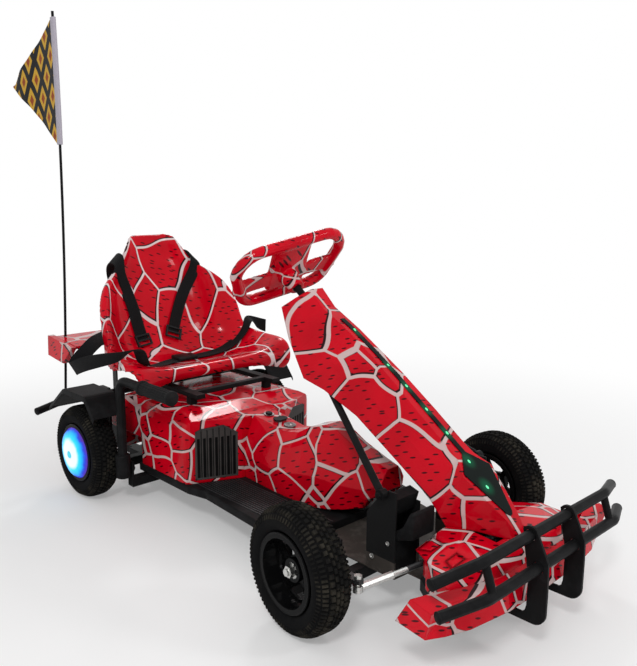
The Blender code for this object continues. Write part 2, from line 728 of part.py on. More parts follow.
def nose():
    half = ((0.0, NOSE_REAR + 0.0004), (0.150, NOSE_REAR + 0.0004), (0.185, -0.200), (0.218, -0.255),
            (0.212, -0.2770), (0.120, -0.2975), (0.0, -0.2995))
    tray = lying(both_sides(half), TRAY_LOW, NOSE_TRAY_HIGH)
    post_half, post_front, post_rear = BEARING_POST
    post = box((-post_half - GAP, post_front - GAP, 0.07), (post_half + GAP, post_rear + GAP, 0.13))
    slots = [sided_box(side, 0.105, 0.24, (-0.205, NOSE_REAR + 0.01), (0.104, 0.125))
             for side, _ in SIDES]
    place(cut(tray, [post] + slots), "nose_tray", BLACK)
    slots = [sided_box(side, 0.105, 0.24, (-0.198, NOSE_REAR + 0.01), (0.10, 0.1385))
             for side, _ in SIDES]
    opening = box((-0.052, -0.256, 0.150), (0.052, NOSE_REAR + 0.01, 0.20))
    cover = cut(nose_solid(0.0), [nose_solid(WALL), opening] + slots)
    place(cover, "nose_cover", RED, smooth=25.0)
    rows = [[(-x, y, z) for x, y, z in row] for row in reversed(BLADE[1:])]
    rows += [list(row) for row in BLADE]
    last = len(rows) - 1
    ends = (((0, 0), (0, 1), (0, 2), (0, 3)), ((last, 3), (last, 2), (last, 1), (last, 0)))
    place(sheet(rows, WALL, -1.0, ends), "front_spoiler", RED, smooth=25.0)


def bumper():
    pieces = []
    for line in (UPPER_BAR, LOWER_BAR):
        points = [(-x, y, z) for x, y, z in reversed(line[1:])] + list(line[1:])
        pieces.append(tube(bent(points, 0.045), BAR_RADIUS, 3))
    for side, _ in SIDES:
        x = side * BAR_UPRIGHT_X
        pieces.append(rod((x, *UPPER_BAR[1][1:]), (x, *LOWER_BAR[1][1:]), 0.008, 10))
    place(union(pieces), "bumper_bars", STEEL)
    top, low = UPPER_BAR[0][1:], LOWER_BAR[0][1:]
    outline = (arc(top, 0.0180, 35, 135, 5) + [(low[0] - 0.0200, 0.190), (low[0] - 0.0210, 0.150)]
               + arc((low[0] + 0.0045, 0.0880), 0.0255, 180, 270, 6)
               + [(-0.221, 0.0625), (-0.216, 0.0650), (-0.216, 0.0740), (-0.220, 0.0772), (-0.3280, 0.0772)]
               + [(-0.3350, 0.0830), (-0.3380, 0.0950), (-0.3385, 0.160), (-0.3300, 0.195)])
    for side, name in SIDES:
        near = FRONT_RAIL_X + HALF + GAP
        xs = sorted((side * near, side * (near + HOOK_PLATE)))
        plate = standing(outline, *xs)
        holes = [rod((xs[0] - 0.01, *centre), (xs[1] + 0.01, *centre), BAR_RADIUS + GAP * 2, 16)
                 for centre in (top, low)]
        place(cut(plate, holes), "bumper_plate_" + name, STEEL)


# Column cover rows, in (distance along a straight line over its top, half width, depth under
# that line): ridge beside the light strip, then lower edge. The line starts at the upper end.
TOP_LINE_START = Vector((0.0, 0.264, 0.621))
COVER_ROWS = (((0.036, 0.020, 0.0290), (0.048, 0.070, 0.0930)),
              ((-0.024, 0.020, 0.0350), (-0.024, 0.080, 0.1260)),
              ((-0.060, 0.019, 0.0280), (-0.070, 0.081, 0.1430)),
              ((-0.116, 0.0195, 0.0185), (-0.121, 0.082, 0.1615)),
              ((-0.194, 0.0205, 0.0105), (-0.184, 0.082, 0.1310)),
              ((-0.264, 0.024, 0.0050), (-0.288, 0.080, 0.1006)),
              ((-0.382, 0.0275, 0.0006), (-0.424, 0.080, 0.0855)),
              ((-0.475, 0.0268, -0.0030), (-0.509, 0.080, 0.0768)),
              ((-0.505, 0.029, -0.0045), (-0.536, 0.080, 0.0765)),
              ((-0.543, 0.050, -0.0046), (-0.563, 0.080, 0.0800)),
              ((-0.600, 0.037, -0.0020), (-0.600, 0.066, 0.1000)),
              ((-0.660, 0.021, 0.0014), (-0.668, 0.040, 0.0700)),
              ((-0.694, 0.014, 0.0100), (-0.692, 0.018, 0.0450)))
SIDE_BULGE = 0.004
LENS_THICKNESS = 0.002
# Light strip: distance along the same line, half width
LENS_OUTLINE = ((-0.072, 0.0065), (-0.498, 0.0065), (-0.541, 0.0440), (-0.645, 0.0100), (-0.652, 0.0030))
ALONG = Vector((0.0, math.cos(COLUMN_SLOPE), math.sin(COLUMN_SLOPE)))
INTO = Vector((0.0, math.sin(COLUMN_SLOPE), -math.cos(COLUMN_SLOPE)))


def on_cover(along, x, depth):
    return TOP_LINE_START + ALONG * along + INTO * depth + Vector((x, 0.0, 0.0))


def between(table, at):
    """Value at a place in a falling table of (place, value), on straight lines between."""
    for (first, value), (second, next_value) in zip(table, table[1:]):
        if first >= at >= second:
            return value + (next_value - value) * (first - at) / (first - second)
    return table[-1][1]


def light_strip():
    """Smoked lens that follows the cover's top, a gap above it."""
    heights = [(ridge[0], ridge[2]) for ridge, _ in COVER_ROWS]
    first, last = LENS_OUTLINE[0][0], LENS_OUTLINE[-1][0]
    places = {place_ for place_, _ in LENS_OUTLINE}
    places |= {place_ for place_, _ in heights if last < place_ < first}
    rows = []
    for along in sorted(places, reverse=True):
        half = between(LENS_OUTLINE, along)
        depth = between(heights, along) - GAP - LENS_THICKNESS / 2
        rows.append([on_cover(along, x, depth) for x in (-half, half)])
    return sheet(rows, LENS_THICKNESS)


def column_cover():
    rows = []
    for ridge, edge in COVER_ROWS:
        top, low = on_cover(*ridge), on_cover(*edge)
        side = (top + low) / 2 + SIDE_BULGE * Vector((1.0, 0.0, 0.0))
        half = [low, side, top]
        rows.append([Vector((-p.x, p.y, p.z)) for p in half] + list(reversed(half)))
    last = len(rows) - 1
    ends = (tuple((0, i) for i in range(5, -1, -1)), tuple((last, i) for i in range(6)))
    cover = sheet(rows, WALL, -1.0, ends)
    hole = rod(down_column(0.0), down_column(0.12), COLUMN_TUBE_RADIUS + 0.002, 20)
    foot = nose_solid(-GAP)
    place(cut(cover, [hole, foot]), "column_cover", RED, smooth=25.0)
    place(light_strip(), "light_strip", SMOKED)


def column_parts():
    outer = rod(down_column(0.040), down_column(0.430), COLUMN_TUBE_RADIUS, 20)
    lug = moved(box((-0.027, 0.010, -0.2310), (0.027, STAY_OFFSET + 0.013, -0.2110)), COLUMN)
    bore = rod(down_column(0.030), down_column(0.440), SHAFT_RADIUS + 0.0006, 20)
    place(cut(union([outer, lug]), [bore]), "column_tube", STEEL)
    for side, name in SIDES:
        top = down_column(0.2210, STAY_OFFSET)
        upper, lower = Vector((side * 0.0360, top.y, top.z)), Vector((side * 0.1660, -0.058, 0.255))
        pieces = [rod(upper, lower, 0.0082, 12)]
        ends = ((upper, 0.0273, 0.0440), (lower, PEDAL_OUTER_X + GAP, PEDAL_OUTER_X + 0.0175))
        for centre, inner_x, outer_x in ends:
            y, z = centre.y, centre.z
            pieces.append(rod((side * inner_x, y, z), (side * outer_x, y, z), 0.0110, 14))
            pieces.append(rod((side * outer_x, y, z), (side * (outer_x + 0.006), y, z), 0.0065, 6))
        place(union(pieces), "column_stay_" + name, STEEL)
    half, front, rear = BEARING_POST
    post = box((-half, front, RAIL_HIGH + GAP), (half, rear, 0.2000))
    bore = rod(down_column(0.660), down_column(0.790), SHAFT_RADIUS + GAP, 20)
    place(cut(post, [bore]), "steering_bearing", STEEL)


def pedal_boxes():
    low = PLATE_HIGH
    outer_cheek = [(-0.088, low - 0.001), (-0.010, low - 0.001), (-0.010, 0.200), (-0.040, 0.240),
                   (-0.066, 0.262), (-0.088, 0.262)]
    inner_cheek = [(-0.088, low - 0.001), (-0.010, low - 0.001), (-0.010, 0.190), (-0.030, 0.225),
                   (-0.088, 0.225)]
    case = [(-0.0580, 0.086), (-0.0580, 0.140), (-0.0840, 0.180), (-0.1020, 0.194), (-0.1200, 0.2300),
            (-0.1300, 0.2300), (-0.1300, 0.1740), (-0.0860, 0.160), (-0.0860, 0.086)]
    cheeks = []
    for side, name in SIDES:
        inner, outer = side * PEDAL_INNER_X, side * PEDAL_OUTER_X
        cheeks.append(standing(inner_cheek, *sorted((inner, inner + side * GUSSET))))
        cheeks.append(standing(outer_cheek, *sorted((outer - side * GUSSET, outer))))
        inset = GUSSET + GAP
        housing = standing(case, *sorted((inner + side * inset, outer - side * inset)))
        place(housing, "pedal_housing_" + name, BLACK)
    foot = PEDAL_OUTER_X + 0.001
    half = ((0.185, TRAY_FRONT - GAP), (foot, 0.0375), (foot, -0.090), (0.118, -0.092), (0.118, -0.135))
    plate = lying(both_sides(half), TRAY_LOW, PLATE_HIGH)
    place(union([plate] + cheeks), "pedal_plate", PLATE)
    reach = Vector((0.0, PEDAL_TOP[0] - PEDAL_PIVOT[0], PEDAL_TOP[1] - PEDAL_PIVOT[1]))
    lean = math.atan2(-reach.y, reach.z)
    inset = GUSSET + GAP
    for side, name in ((-1, "accelerator_pedal"), (1, "brake_pedal")):
        middle = side * (PEDAL_INNER_X + PEDAL_OUTER_X) / 2
        half = (PEDAL_OUTER_X - PEDAL_INNER_X) / 2 - inset
        centre = pivot(name + "_axis", (middle, PEDAL_PIVOT[0], PEDAL_PIVOT[1]))
        long = reach.length
        plate = box((-half + 0.003, -PEDAL_PLATE / 2, 0.0), (half - 0.003, PEDAL_PLATE / 2, long))
        head = box((-half + 0.001, -0.0180, long - 0.040), (half - 0.001, 0.0070, long))
        moved(plate, Matrix.Rotation(lean, 4, "X"))
        moved(head, Matrix.Rotation(lean, 4, "X"))
        pin = rod((-half, 0, 0), (half, 0, 0), 0.009, 14)
        place(union([plate, head, pin]), name, BLACK, centre)


def tyre(width):
    half = width / 2
    bead = half - LIP_INSET - GAP
    outer = ((RIM_RADIUS + GAP, bead), (FLANGE_RADIUS + 0.0015, bead),
             (FLANGE_RADIUS + 0.0065, half - 0.0030), (TYRE_RADIUS - 0.025, half), (TYRE_RADIUS - 0.010, half - 0.0040),
             (TYRE_RADIUS - 0.0025, half - 0.0140))
    profile = list(outer) + [(TYRE_RADIUS, 0.0)] + [(r, -h) for r, h in reversed(outer)]
    return turned(profile)


def onto_axle(obj, side):
    """Turn a piece made about Z so that its +Z faces outward along X."""
    return moved(obj, Matrix.Rotation(side * math.pi / 2, 4, "Y"))


def front_rim(side):
    half = FRONT_TYRE_WIDTH / 2
    lip = half - LIP_INSET
    profile = ((0.0690, lip + 0.0020), (FLANGE_RADIUS, lip + 0.0020), (FLANGE_RADIUS, lip),
               (RIM_RADIUS, lip), (RIM_RADIUS, -lip), (FLANGE_RADIUS, -lip), (FLANGE_RADIUS, -lip - 0.0020),
               (0.0690, -lip - 0.0020), (0.0690, -0.0060), (0.0240, -0.0020), (0.0240, -0.0290),
               (0.0085, -0.0290), (0.0085, 0.0150), (0.0240, 0.0150), (0.0240, 0.0040), (0.0690, 0.0000))
    rim = turned(profile)
    windows = []
    for i in range(SPOKES):
        turn = math.tau * (i + 0.5) / SPOKES
        half_arc = math.radians(25.0)
        outline = [(r * math.cos(turn + a), r * math.sin(turn + a))
                   for r, a in ((0.0300, -half_arc), (0.0630, -half_arc * 1.05), (0.0660, 0.0),
                                (0.0630, half_arc * 1.05), (0.0300, half_arc))]
        windows.append(flat(outline, 0.030))
    return onto_axle(cut(rim, windows), side)


def front_corner(side, name):
    king = pivot("kingpin_axis_" + name, (side * KINGPIN_X, 0.0, 0.0),
                 Matrix.Rotation(ROAD_WHEEL_TURN, 4, "Z"))
    z = TYRE_RADIUS
    low, high = 0.100 + GAP, 0.160 - GAP
    block = box((-KNUCKLE_HALF, -0.0155, low), (KNUCKLE_HALF, 0.0155, high), 0.002)
    reach = FRONT_WHEEL_X - KINGPIN_X
    stub = rod((0, 0, z), (side * (reach + 0.0310), 0, z), STUB_RADIUS, 16)
    shoulder = rod((0, 0, z), (side * (reach - 0.0290 - GAP), 0, z), 0.0120, 16)
    ball = Vector((-side * ARM_INSET, -ARM_LENGTH, 0.0))
    arm = lying([(-0.010, -0.010), (ball.x - 0.011, ball.y), (ball.x - 0.006, ball.y - 0.010),
                 (ball.x + 0.006, ball.y - 0.010), (ball.x + 0.011, ball.y), (0.010, -0.010)],
                ARM_LOW, ARM_HIGH)
    bore = rod((0, 0, 0.09), (0, 0, 0.17), KINGPIN_RADIUS + GAP, 16)
    eye = rod((ball.x, ball.y, 0.10), (ball.x, ball.y, 0.13), 0.0053, 12)
    nut = rod((side * (reach + 0.0150 + GAP), 0, z), (side * (reach + 0.0260), 0, z), 0.0125, 6)
    knuckle = cut(union([block, shoulder, stub, nut, arm]), [bore, eye])
    place(knuckle, "knuckle_" + name, STEEL, king)
    spin = pivot("front_spin_" + name, (side * reach, 0.0, z), parent=king)
    place(front_rim(side), "front_rim_" + name, STEEL, spin)
    place(onto_axle(tyre(FRONT_TYRE_WIDTH), side), "front_tyre_" + name, RUBBER, spin, 50.0)
    return king, ball


def tie_rod(side, name, king, ball):
    """Rod from the arm's ball joint to just clear of the pitman arm, made as it stands."""
    bpy.context.view_layer.update()
    outer = ROOT.matrix_world.inverted() @ king.matrix_world @ ball
    turn = Matrix.Rotation(STEERING_WHEEL_TURN, 4, "Z")
    station = -PITMAN_STATION + PITMAN_PLATE / 2 + OPEN_PIVOT_GAP + 0.0060
    inner = COLUMN @ turn @ Vector((side * PITMAN_HALF_SPREAD, -PITMAN_LENGTH, station))
    joint = pivot("tie_rod_axis_" + name, (outer.x, outer.y, 0.0))
    eye_z = ARM_LOW - 0.0120
    start = Vector((outer.x, outer.y, eye_z))
    run = (inner - start).normalized()
    eye = rod(start - Vector((0, 0, 0.0065)), start + Vector((0, 0, 0.0065)), 0.0110, 14)
    stud = rod(start, (start.x, start.y, ARM_HIGH + 0.008), 0.0050, 12)
    nut = rod((start.x, start.y, ARM_HIGH + GAP), (start.x, start.y, ARM_HIGH + 0.0070), 0.0085, 6)
    sleeve = rod(start + run * 0.008, start + run * 0.075, 0.0080, 8)
    shank = rod(start + run * 0.070, inner - run * 0.006, TIE_ROD_RADIUS, 10)
    end = rod(inner - ALONG * 0.0060, inner + ALONG * 0.0060, 0.0078, 12)
    piece = union([eye, stud, nut, sleeve, shank, end])
    place(shifted(piece, (-outer.x, -outer.y, 0.0)), "tie_rod_" + name, ZINC, joint)


def steering():
    turn = Matrix.Rotation(STEERING_WHEEL_TURN, 4, "Z")
    column = pivot("steering_axis", (0, 0, 0), COLUMN @ turn)
    shaft = rod((0, 0, 0.030), (0, 0, -SHAFT_LENGTH), SHAFT_RADIUS, 20)
    tip = PITMAN_LENGTH
    spread = PITMAN_HALF_SPREAD
    plate = flat([(0.011, 0.006), (spread + 0.009, -tip + 0.002), (spread + 0.006, -tip - 0.008),
                  (-spread - 0.006, -tip - 0.008), (-spread - 0.009, -tip + 0.002), (-0.011, 0.006)],
                 PITMAN_PLATE)
    shifted(plate, (0, 0, -PITMAN_STATION))
    place(union([shaft, plate]), "steering_shaft", STEEL, column)
    corner = 0.062
    top, low, half = -RIM_TOP, -RIM_BOTTOM, RIM_HALF_WIDTH
    path = (arc((half - corner, top + corner), corner, -90, 0, 5)
            + arc((half - 0.072, low - 0.050), 0.050, 10, 90, 5)
            + arc((-half + 0.072, low - 0.050), 0.050, 90, 170, 5)
            + arc((-half + corner, top + corner), corner, 180, 270, 5))
    level = 0.055
    ring = tube([(x, y, level) for x, y in path], RIM_TUBE_RADIUS, 3, cyclic=True)
    boss = turned(((0.0, 0.062), (0.024, 0.060), (0.024, 0.030), (0.0200, 0.026), (0.0200, 0.0),
                   (0.0, 0.0)), 24, closed=False)
    pad = rounded(box((-0.055, top + 0.004, 0.0470), (0.055, 0.040, 0.0640)), 0.006)
    arms = [box((side * 0.040 if side > 0 else -half, -0.020, 0.0480),
                (half if side > 0 else -0.040, 0.022, 0.0600)) for side, _ in SIDES]
    foot = box((-0.022, 0.020, 0.0490), (0.022, low, 0.0600))
    wheel = union([ring, pad, boss, foot] + arms)
    bore = rod((0, 0, -0.01), (0, 0, 0.030 + GAP), SHAFT_RADIUS + GAP, 20)
    place(cut(wheel, [bore]), "steering_wheel", RED, column)
    for side, name in SIDES:
        x = side * KINGPIN_X
        pin = rod((x, 0, 0.088), (x, 0, 0.172), KINGPIN_RADIUS, 14)
        head = rod((x, 0, 0.165 + GAP), (x, 0, 0.172), 0.0100, 6)
        place(union([pin, head]), "kingpin_" + name, ZINC)
        king, ball = front_corner(side, name)
        tie_rod(side, name, king, ball)


# Mudguard: (distance behind the rear axle, height) along its middle, and |x| of its two edges
MUDGUARD_LINE = ((-0.1216, 0.252), (-0.0786, 0.3040), (0.0514, 0.3040), (0.1464, 0.232))
MUDGUARD_X = (0.262, 0.350)
MUDGUARD_LIP = 0.012
MUDGUARD_WALL = 0.0022


def rear_wheels():
    half = REAR_TYRE_WIDTH / 2
    lip = half - LIP_INSET
    for side, name in SIDES:
        centre = (side * REAR_WHEEL_X, WHEELBASE, TYRE_RADIUS)
        spin = pivot("rear_spin_" + name, centre)
        bore = AXLE_RADIUS + 0.0005
        drum = turned(((0.0, 0.018), (bore, 0.018), (bore, -lip), (0.050, -lip), (0.060, -lip - 0.002),
                       (FLANGE_RADIUS, -lip - 0.002), (FLANGE_RADIUS, -lip), (RIM_RADIUS, -lip),
                       (RIM_RADIUS, lip), (FLANGE_RADIUS, lip), (FLANGE_RADIUS, lip + 0.002),
                       (0.0, lip + 0.002)), closed=False)
        place(onto_axle(drum, side), "rear_hub_" + name, STEEL, spin)
        place(onto_axle(tyre(REAR_TYRE_WIDTH), side), "rear_tyre_" + name, RUBBER, spin, 50.0)
        base = lip + 0.002 + GAP
        dome = ((0.0, base + 0.0190), (0.0200, base + 0.0180), (0.0450, base + 0.0150),
                (0.0640, base + 0.0090), (0.0715, base), (0.0685, base), (0.0615, base + 0.0070),
                (0.0435, base + 0.0125), (0.0190, base + 0.0155), (0.0, base + 0.0160))
        place(onto_axle(turned(dome, closed=False), side), "light_disc_" + name, LAMP, spin)
        y, z = WHEELBASE, TYRE_RADIUS
        inner, outer = UPRIGHT_X - GAP, UPRIGHT_X + UPRIGHT_PLATE + GAP
        axle = union([rod((side * (inner - 0.010), y, z), (side * 0.3300, y, z), AXLE_RADIUS, 14),
                      rod((side * (inner - 0.006), y, z), (side * inner, y, z), 0.0110, 6),
                      rod((side * outer, y, z), (side * (outer + 0.006), y, z), 0.0110, 6)])
        place(axle, "rear_axle_" + name, ZINC)
    line = bent([(0.0, WHEELBASE + y, z) for y, z in MUDGUARD_LINE], 0.03, 3)
    near, far = MUDGUARD_X
    for side, name in SIDES:
        rows = [[(side * near, p.y, p.z), (side * far, p.y, p.z),
                 (side * (far + 0.003), p.y, p.z - MUDGUARD_LIP)] for p in line]
        place(sheet(rows, MUDGUARD_WALL), "mudguard_" + name, BLACK)


def lever():
    y, z = LEVER_PIVOT
    axis = pivot("side_lever_axis", (LEVER_X, y, z))
    path = bent([(0, 0, 0.015), (0, 0, LEVER_TOP - z), (0, GRIP_FRONT + 0.006 - y, LEVER_TOP - z)], 0.035, 5)
    post = tube(path, LEVER_RADIUS, 3)
    sleeve = rounded(rod((0, 0, -0.022), (0, 0, 0.045), 0.0200, 16), 0.005, 2, 60.0)
    bolt = rod((0.0, 0, 0), (0.0310, 0, 0), 0.0060, 12)
    head = rod((0.0255 + GAP, 0, 0), (0.0310, 0, 0), 0.0100, 6)
    place(union([post, sleeve, bolt, head]), "side_lever", STEEL, axis)
    length = GRIP_REAR - GRIP_FRONT
    bore = LEVER_RADIUS + GAP
    grip = turned(((0.0, 0.006 - GAP), (bore, 0.006 - GAP), (bore, length), (0.0200, length),
                   (0.0200, length - 0.006), (GRIP_RADIUS, length - 0.008), (GRIP_RADIUS, 0.004),
                   (0.0150, 0.0), (0.0, 0.0)), 20, closed=False)
    shifted(moved(grip, Matrix.Rotation(-math.pi / 2, 4, "X")), (0, GRIP_FRONT - y, LEVER_TOP - z))
    place(grip, "lever_grip", RUBBER, axis)


# Wing section and end plate outline, as (distance behind the rear bar, height)
WING_SECTION = ((-0.120, 0.402), (-0.070, 0.404), (0.015, 0.412), (0.017, 0.420), (-0.070, 0.416),
                (-0.120, 0.410))
WING_END = ((-0.125, 0.408), (0.025, 0.424), (0.030, 0.364), (-0.068, 0.354))
WING_HALF = 0.290


def rear_end():
    half = ((0.300, REAR_BAR_Y, REAR_BAR_Z), (0.371, REAR_BAR_Y - 0.014, REAR_BAR_Z - 0.010))
    points = [(-x, y, z) for x, y, z in reversed(half)] + list(half)
    bar = tube(bent(points, 0.06), BAR_RADIUS, 3)
    seat_of_pole = Vector((FLAG_X, REAR_BAR_Y, REAR_BAR_Z))
    socket = rod(seat_of_pole, seat_of_pole + Vector((0, 0, 0.030)), 0.0075, 12)
    bore = rod(seat_of_pole, seat_of_pole + Vector((0, 0, 0.050)), POLE_RADIUS + GAP, 10)
    place(cut(union([bar, socket]), [bore]), "rear_bar", STEEL)
    foot = seat_of_pole + Vector((0, 0, GAP))
    neck, bend, top = foot + Vector((0, 0, 0.035)), Vector(POLE_BEND), Vector(POLE_TOP)
    steps = [i / 9 * HOIST_LOW for i in range(9)]
    steps += [HOIST_LOW + (HOIST_HIGH - HOIST_LOW) * i / 6 for i in range(7)]
    curve = [neck * (1 - t) ** 2 + bend * 2 * t * (1 - t) + top * t ** 2 for t in steps]
    path = [foot] + curve + [top]
    place(tube(path, POLE_RADIUS, 2), "flag_pole", STEEL)
    pennant(curve[9:])
    y = REAR_BAR_Y - 0.026
    stays = [box((side * REAR_POST_X - 0.002, y - 0.012, REAR_POST_TOP + GAP),
                 (side * REAR_POST_X + 0.002, y + 0.012, 0.408)) for side, _ in SIDES]
    feet = [box((side * REAR_POST_X - 0.012, y - 0.014, REAR_POST_TOP + GAP),
                (side * REAR_POST_X + 0.012, y + 0.012, REAR_POST_TOP + 0.004)) for side, _ in SIDES]
    blade = standing([(REAR_BAR_Y + along, z) for along, z in WING_SECTION], -WING_HALF, WING_HALF)
    outline = [(REAR_BAR_Y + along, z) for along, z in WING_END]
    ends = [standing(outline, *sorted((side * (WING_HALF - 0.002), side * (WING_HALF + 0.016))))
            for side, _ in SIDES]
    wing = union([blade] + stays + feet + ends)
    place(cut(wing, [tube(path, POLE_RADIUS + 0.002, 1)]), "rear_wing", RED)


def pennant(hoist):
    """Three-cornered flag: a flat sleeve round the pole runs on into the cloth, with soft folds."""
    across, round_steps = 8, 10
    tip = Vector(PENNANT_TIP)
    rows = []
    for i, centre in enumerate(hoist):
        v = i / (len(hoist) - 1)
        start = centre + Vector((0.0, SLEEVE[1], 0.0))
        row = []
        for j in range(across, 0, -1):
            u = j / across
            wave = FOLD_DEPTH * math.sin(math.pi * (1.7 * u + 0.3 * v)) * u
            row.append(start.lerp(tip, 0.97 * u) + Vector((wave, 0.0, 0.0)))
        for j in range(round_steps):
            turn = math.tau * j / round_steps
            row.append(centre + Vector((SLEEVE[0] * math.sin(turn), SLEEVE[1] * math.cos(turn), 0.0)))
        rows.append(row)
    place(sheet(rows, CLOTH_THICKNESS), "pennant", CLOTH)


# The seat has its own coordinates, with y = 0 at its front legs. Rows from the front lip to
# behind the headrest: y, z, half width, side rise, rim drop
SEAT_ROWS = ((0.074, 0.330, 0.252, 0.030, 0.010), (0.057, 0.346, 0.264, 0.034, 0.016),
             (0.062, 0.372, 0.272, 0.034, 0.026), (0.105, 0.366, 0.282, 0.046, 0.045),
             (0.180, 0.3450, 0.276, 0.070, 0.060), (0.250, 0.3450, 0.256, 0.088, 0.060),
             (0.302, 0.372, 0.245, 0.097, 0.050), (0.328, 0.430, 0.242, 0.089, 0.040),
             (0.340, 0.500, 0.240, 0.075, 0.034), (0.358, 0.562, 0.212, 0.054, 0.030),
             (0.380, 0.606, 0.148, 0.032, 0.024), (0.392, 0.646, 0.112, 0.026, 0.020),
             (0.396, 0.688, 0.090, 0.018, 0.016), (0.406, 0.706, 0.077, 0.006, 0.006),
             (0.422, 0.694, 0.079, -0.004, 0.0))
SEAT_COLUMNS = ((0.0, 0.0, 0.0), (0.30, 0.0, 0.0), (0.58, 0.06, 0.0), (0.78, 0.42, 0.0),
                (0.92, 0.90, 0.0), (0.985, 1.0, 0.12), (1.0, 0.92, 0.80))


def seat_grid():
    """Points of the seat's inner face, row by row."""
    centre = [Vector((0.0, y, z)) for y, z, *_ in SEAT_ROWS]
    rows = []
    for i, (_, _, half, rise, drop) in enumerate(SEAT_ROWS):
        run = centre[min(i + 1, len(centre) - 1)] - centre[max(i - 1, 0)]
        out = Vector((0.0, -run.z, run.y)).normalized()
        row = [centre[i] + out * (rise * up - drop * fall) + Vector((half * x, 0.0, 0.0))
               for x, up, fall in SEAT_COLUMNS]
        rows.append([Vector((-p.x, p.y, p.z)) for p in reversed(row[1:])] + row)
    return rows


def height_over(tree, spot):
    """Signed distance of a point from the seat."""
    near, normal, _, distance = tree.find_nearest(spot)
    return distance if (spot - near).dot(normal) > 0.0 else -distance


def laid_strap(tree, line, lift, hand=1):
    """Webbing over (point, direction across) stations, eased off the seat until a lift clear."""
    rows, away = [], []
    for i, (point, across) in enumerate(line):
        run = line[min(i + 1, len(line) - 1)][0] - line[max(i - 1, 0)][0]
        away.append(run.cross(across).normalized() * hand)
        rows.append([point + across.normalized() * STRAP_WIDTH * share for share in (-0.5, 0.0, 0.5)])
    last = len(rows) - 1
    for _ in range(16):
        for i in range(last + 1):
            below = min(i + 1, last)
            for j in range(3):
                right = min(j + 1, 2)
                for (r, c), (k, n) in (((i, j), (i, j)), ((i, j), (below, j)), ((i, j), (i, right)),
                                       ((i, j), (below, right)), ((i, right), (below, j))):
                    height = height_over(tree, (rows[r][c] + rows[k][n]) / 2)
                    if height < lift:
                        rows[r][c] = rows[r][c] + away[r] * (lift - height) * 0.5
                        rows[k][n] = rows[k][n] + away[k] * (lift - height) * 0.5
    return sheet(rows, STRAP_THICKNESS)


def on_seat(obj, tree, spot, across, lift):
    """Lay a piece made flat in XY on the seat near a spot."""
    near, normal, _, _ = tree.find_nearest(spot)
    side = (across - normal * across.dot(normal)).normalized()
    turn = Matrix((side, normal.cross(side), normal)).transposed().to_4x4()
    return moved(obj, Matrix.Translation(near + normal * lift) @ turn)


def stations(points, spacing):
    """Even (point, direction across) pairs from a table of both, on straight lines between."""
    made = []
    for (start, first), (end, second) in zip(points, points[1:]):
        start, end, first, second = Vector(start), Vector(end), Vector(first), Vector(second)
        count = max(1, math.ceil((end - start).length / spacing))
        made += [(start.lerp(end, i / count), first.lerp(second, i / count)) for i in range(count)]
    return made + [(Vector(points[-1][0]), Vector(points[-1][1]))]


def sunk(tree, start, way, lift):
    """Where a ray meets the seat, lifted back along it."""
    return tree.ray_cast(Vector(start), Vector(way))[0] - Vector(way) * lift


# Shoulder straps on the seat's back, as (x, z) from the top down
SHOULDER_ROUTES = (((-0.140, 0.606), (-0.122, 0.560), (-0.107, 0.505), (-0.098, 0.450), (-0.092, 0.405)),
                   ((0.130, 0.606), (0.100, 0.560), (0.070, 0.520), (0.044, 0.470), (0.018, 0.415)))
# Behind and over the seat's shoulder: |x|, y, z
OVER_SHOULDER = ((0.120, 0.452, 0.566), (0.132, 0.448, 0.600), (0.140, 0.426, 0.626), (0.142, 0.396, 0.630))
BELT_Y = 0.226
# Lap strap from the seat's rim, over it and down outside: |x|, y, z, then the direction across
LAP_OUTSIDE = (((0.246, 0.228, 0.446), (0, 1, 0)), ((0.272, 0.228, 0.450), (0, 1, 0)),
               ((0.302, 0.235, 0.440), (0.2, 1, 0)), ((0.326, 0.260, 0.410), (0.4, 1, -0.4)),
               ((0.324, 0.290, 0.386), (0.3, 0.4, -1)), ((0.306, 0.312, 0.390), (0, 0, -1)))


def harness(base, shell):
    """Two shoulder straps with their adjusters, and a lap strap with its buckle."""
    tree = BVHTree.FromPolygons([v.co for v in shell.data.vertices],
                                [tuple(p.vertices) for p in shell.data.polygons])
    lift = 0.0045
    shoulders = [box((-0.148, 0.4500, 0.550), (0.148, 0.4545, 0.588))]
    for side, route in zip((-1, 1), SHOULDER_ROUTES):
        points = [((side * x, y, z), (1, 0, 0)) for x, y, z in OVER_SHOULDER]
        for (x, z), (next_x, next_z) in zip(route, route[1:] + (route[-1],)):
            across = Vector((z - next_z, 0.0, next_x - x)) if z > next_z else across
            points.append((sunk(tree, (x, -0.06, z), (0, 1, 0), lift), across.normalized()))
        adjuster = box((-0.023, -0.017, -0.004), (0.023, 0.017, 0.004))
        on_seat(adjuster, tree, points[-1][0], points[-1][1], 0.0080)
        shoulders += [laid_strap(tree, stations(points, 0.017), lift), adjuster]
    place(union(shoulders), "shoulder_harness", WEBBING, base)
    laps = []
    for side, _ in SIDES:
        points = [(sunk(tree, (side * x, BELT_Y, 0.60), (0, 0, -1), lift), (0, 1, 0))
                  for x in (0.010, 0.050, 0.090, 0.130, 0.160, 0.190, 0.215, 0.232)]
        points += [((side * p[0], p[1], p[2]), (side * way[0], way[1], way[2])) for p, way in LAP_OUTSIDE]
        laps.append(laid_strap(tree, stations(points, 0.017), lift, side))
    buckle = box((-0.032, -0.021, -0.0050), (0.032, 0.021, 0.0050))
    laps.append(on_seat(buckle, tree, Vector((0.0, BELT_Y, 0.36)), Vector((1, 0, 0)), 0.0080))
    place(union(laps), "lap_belt", WEBBING, base)


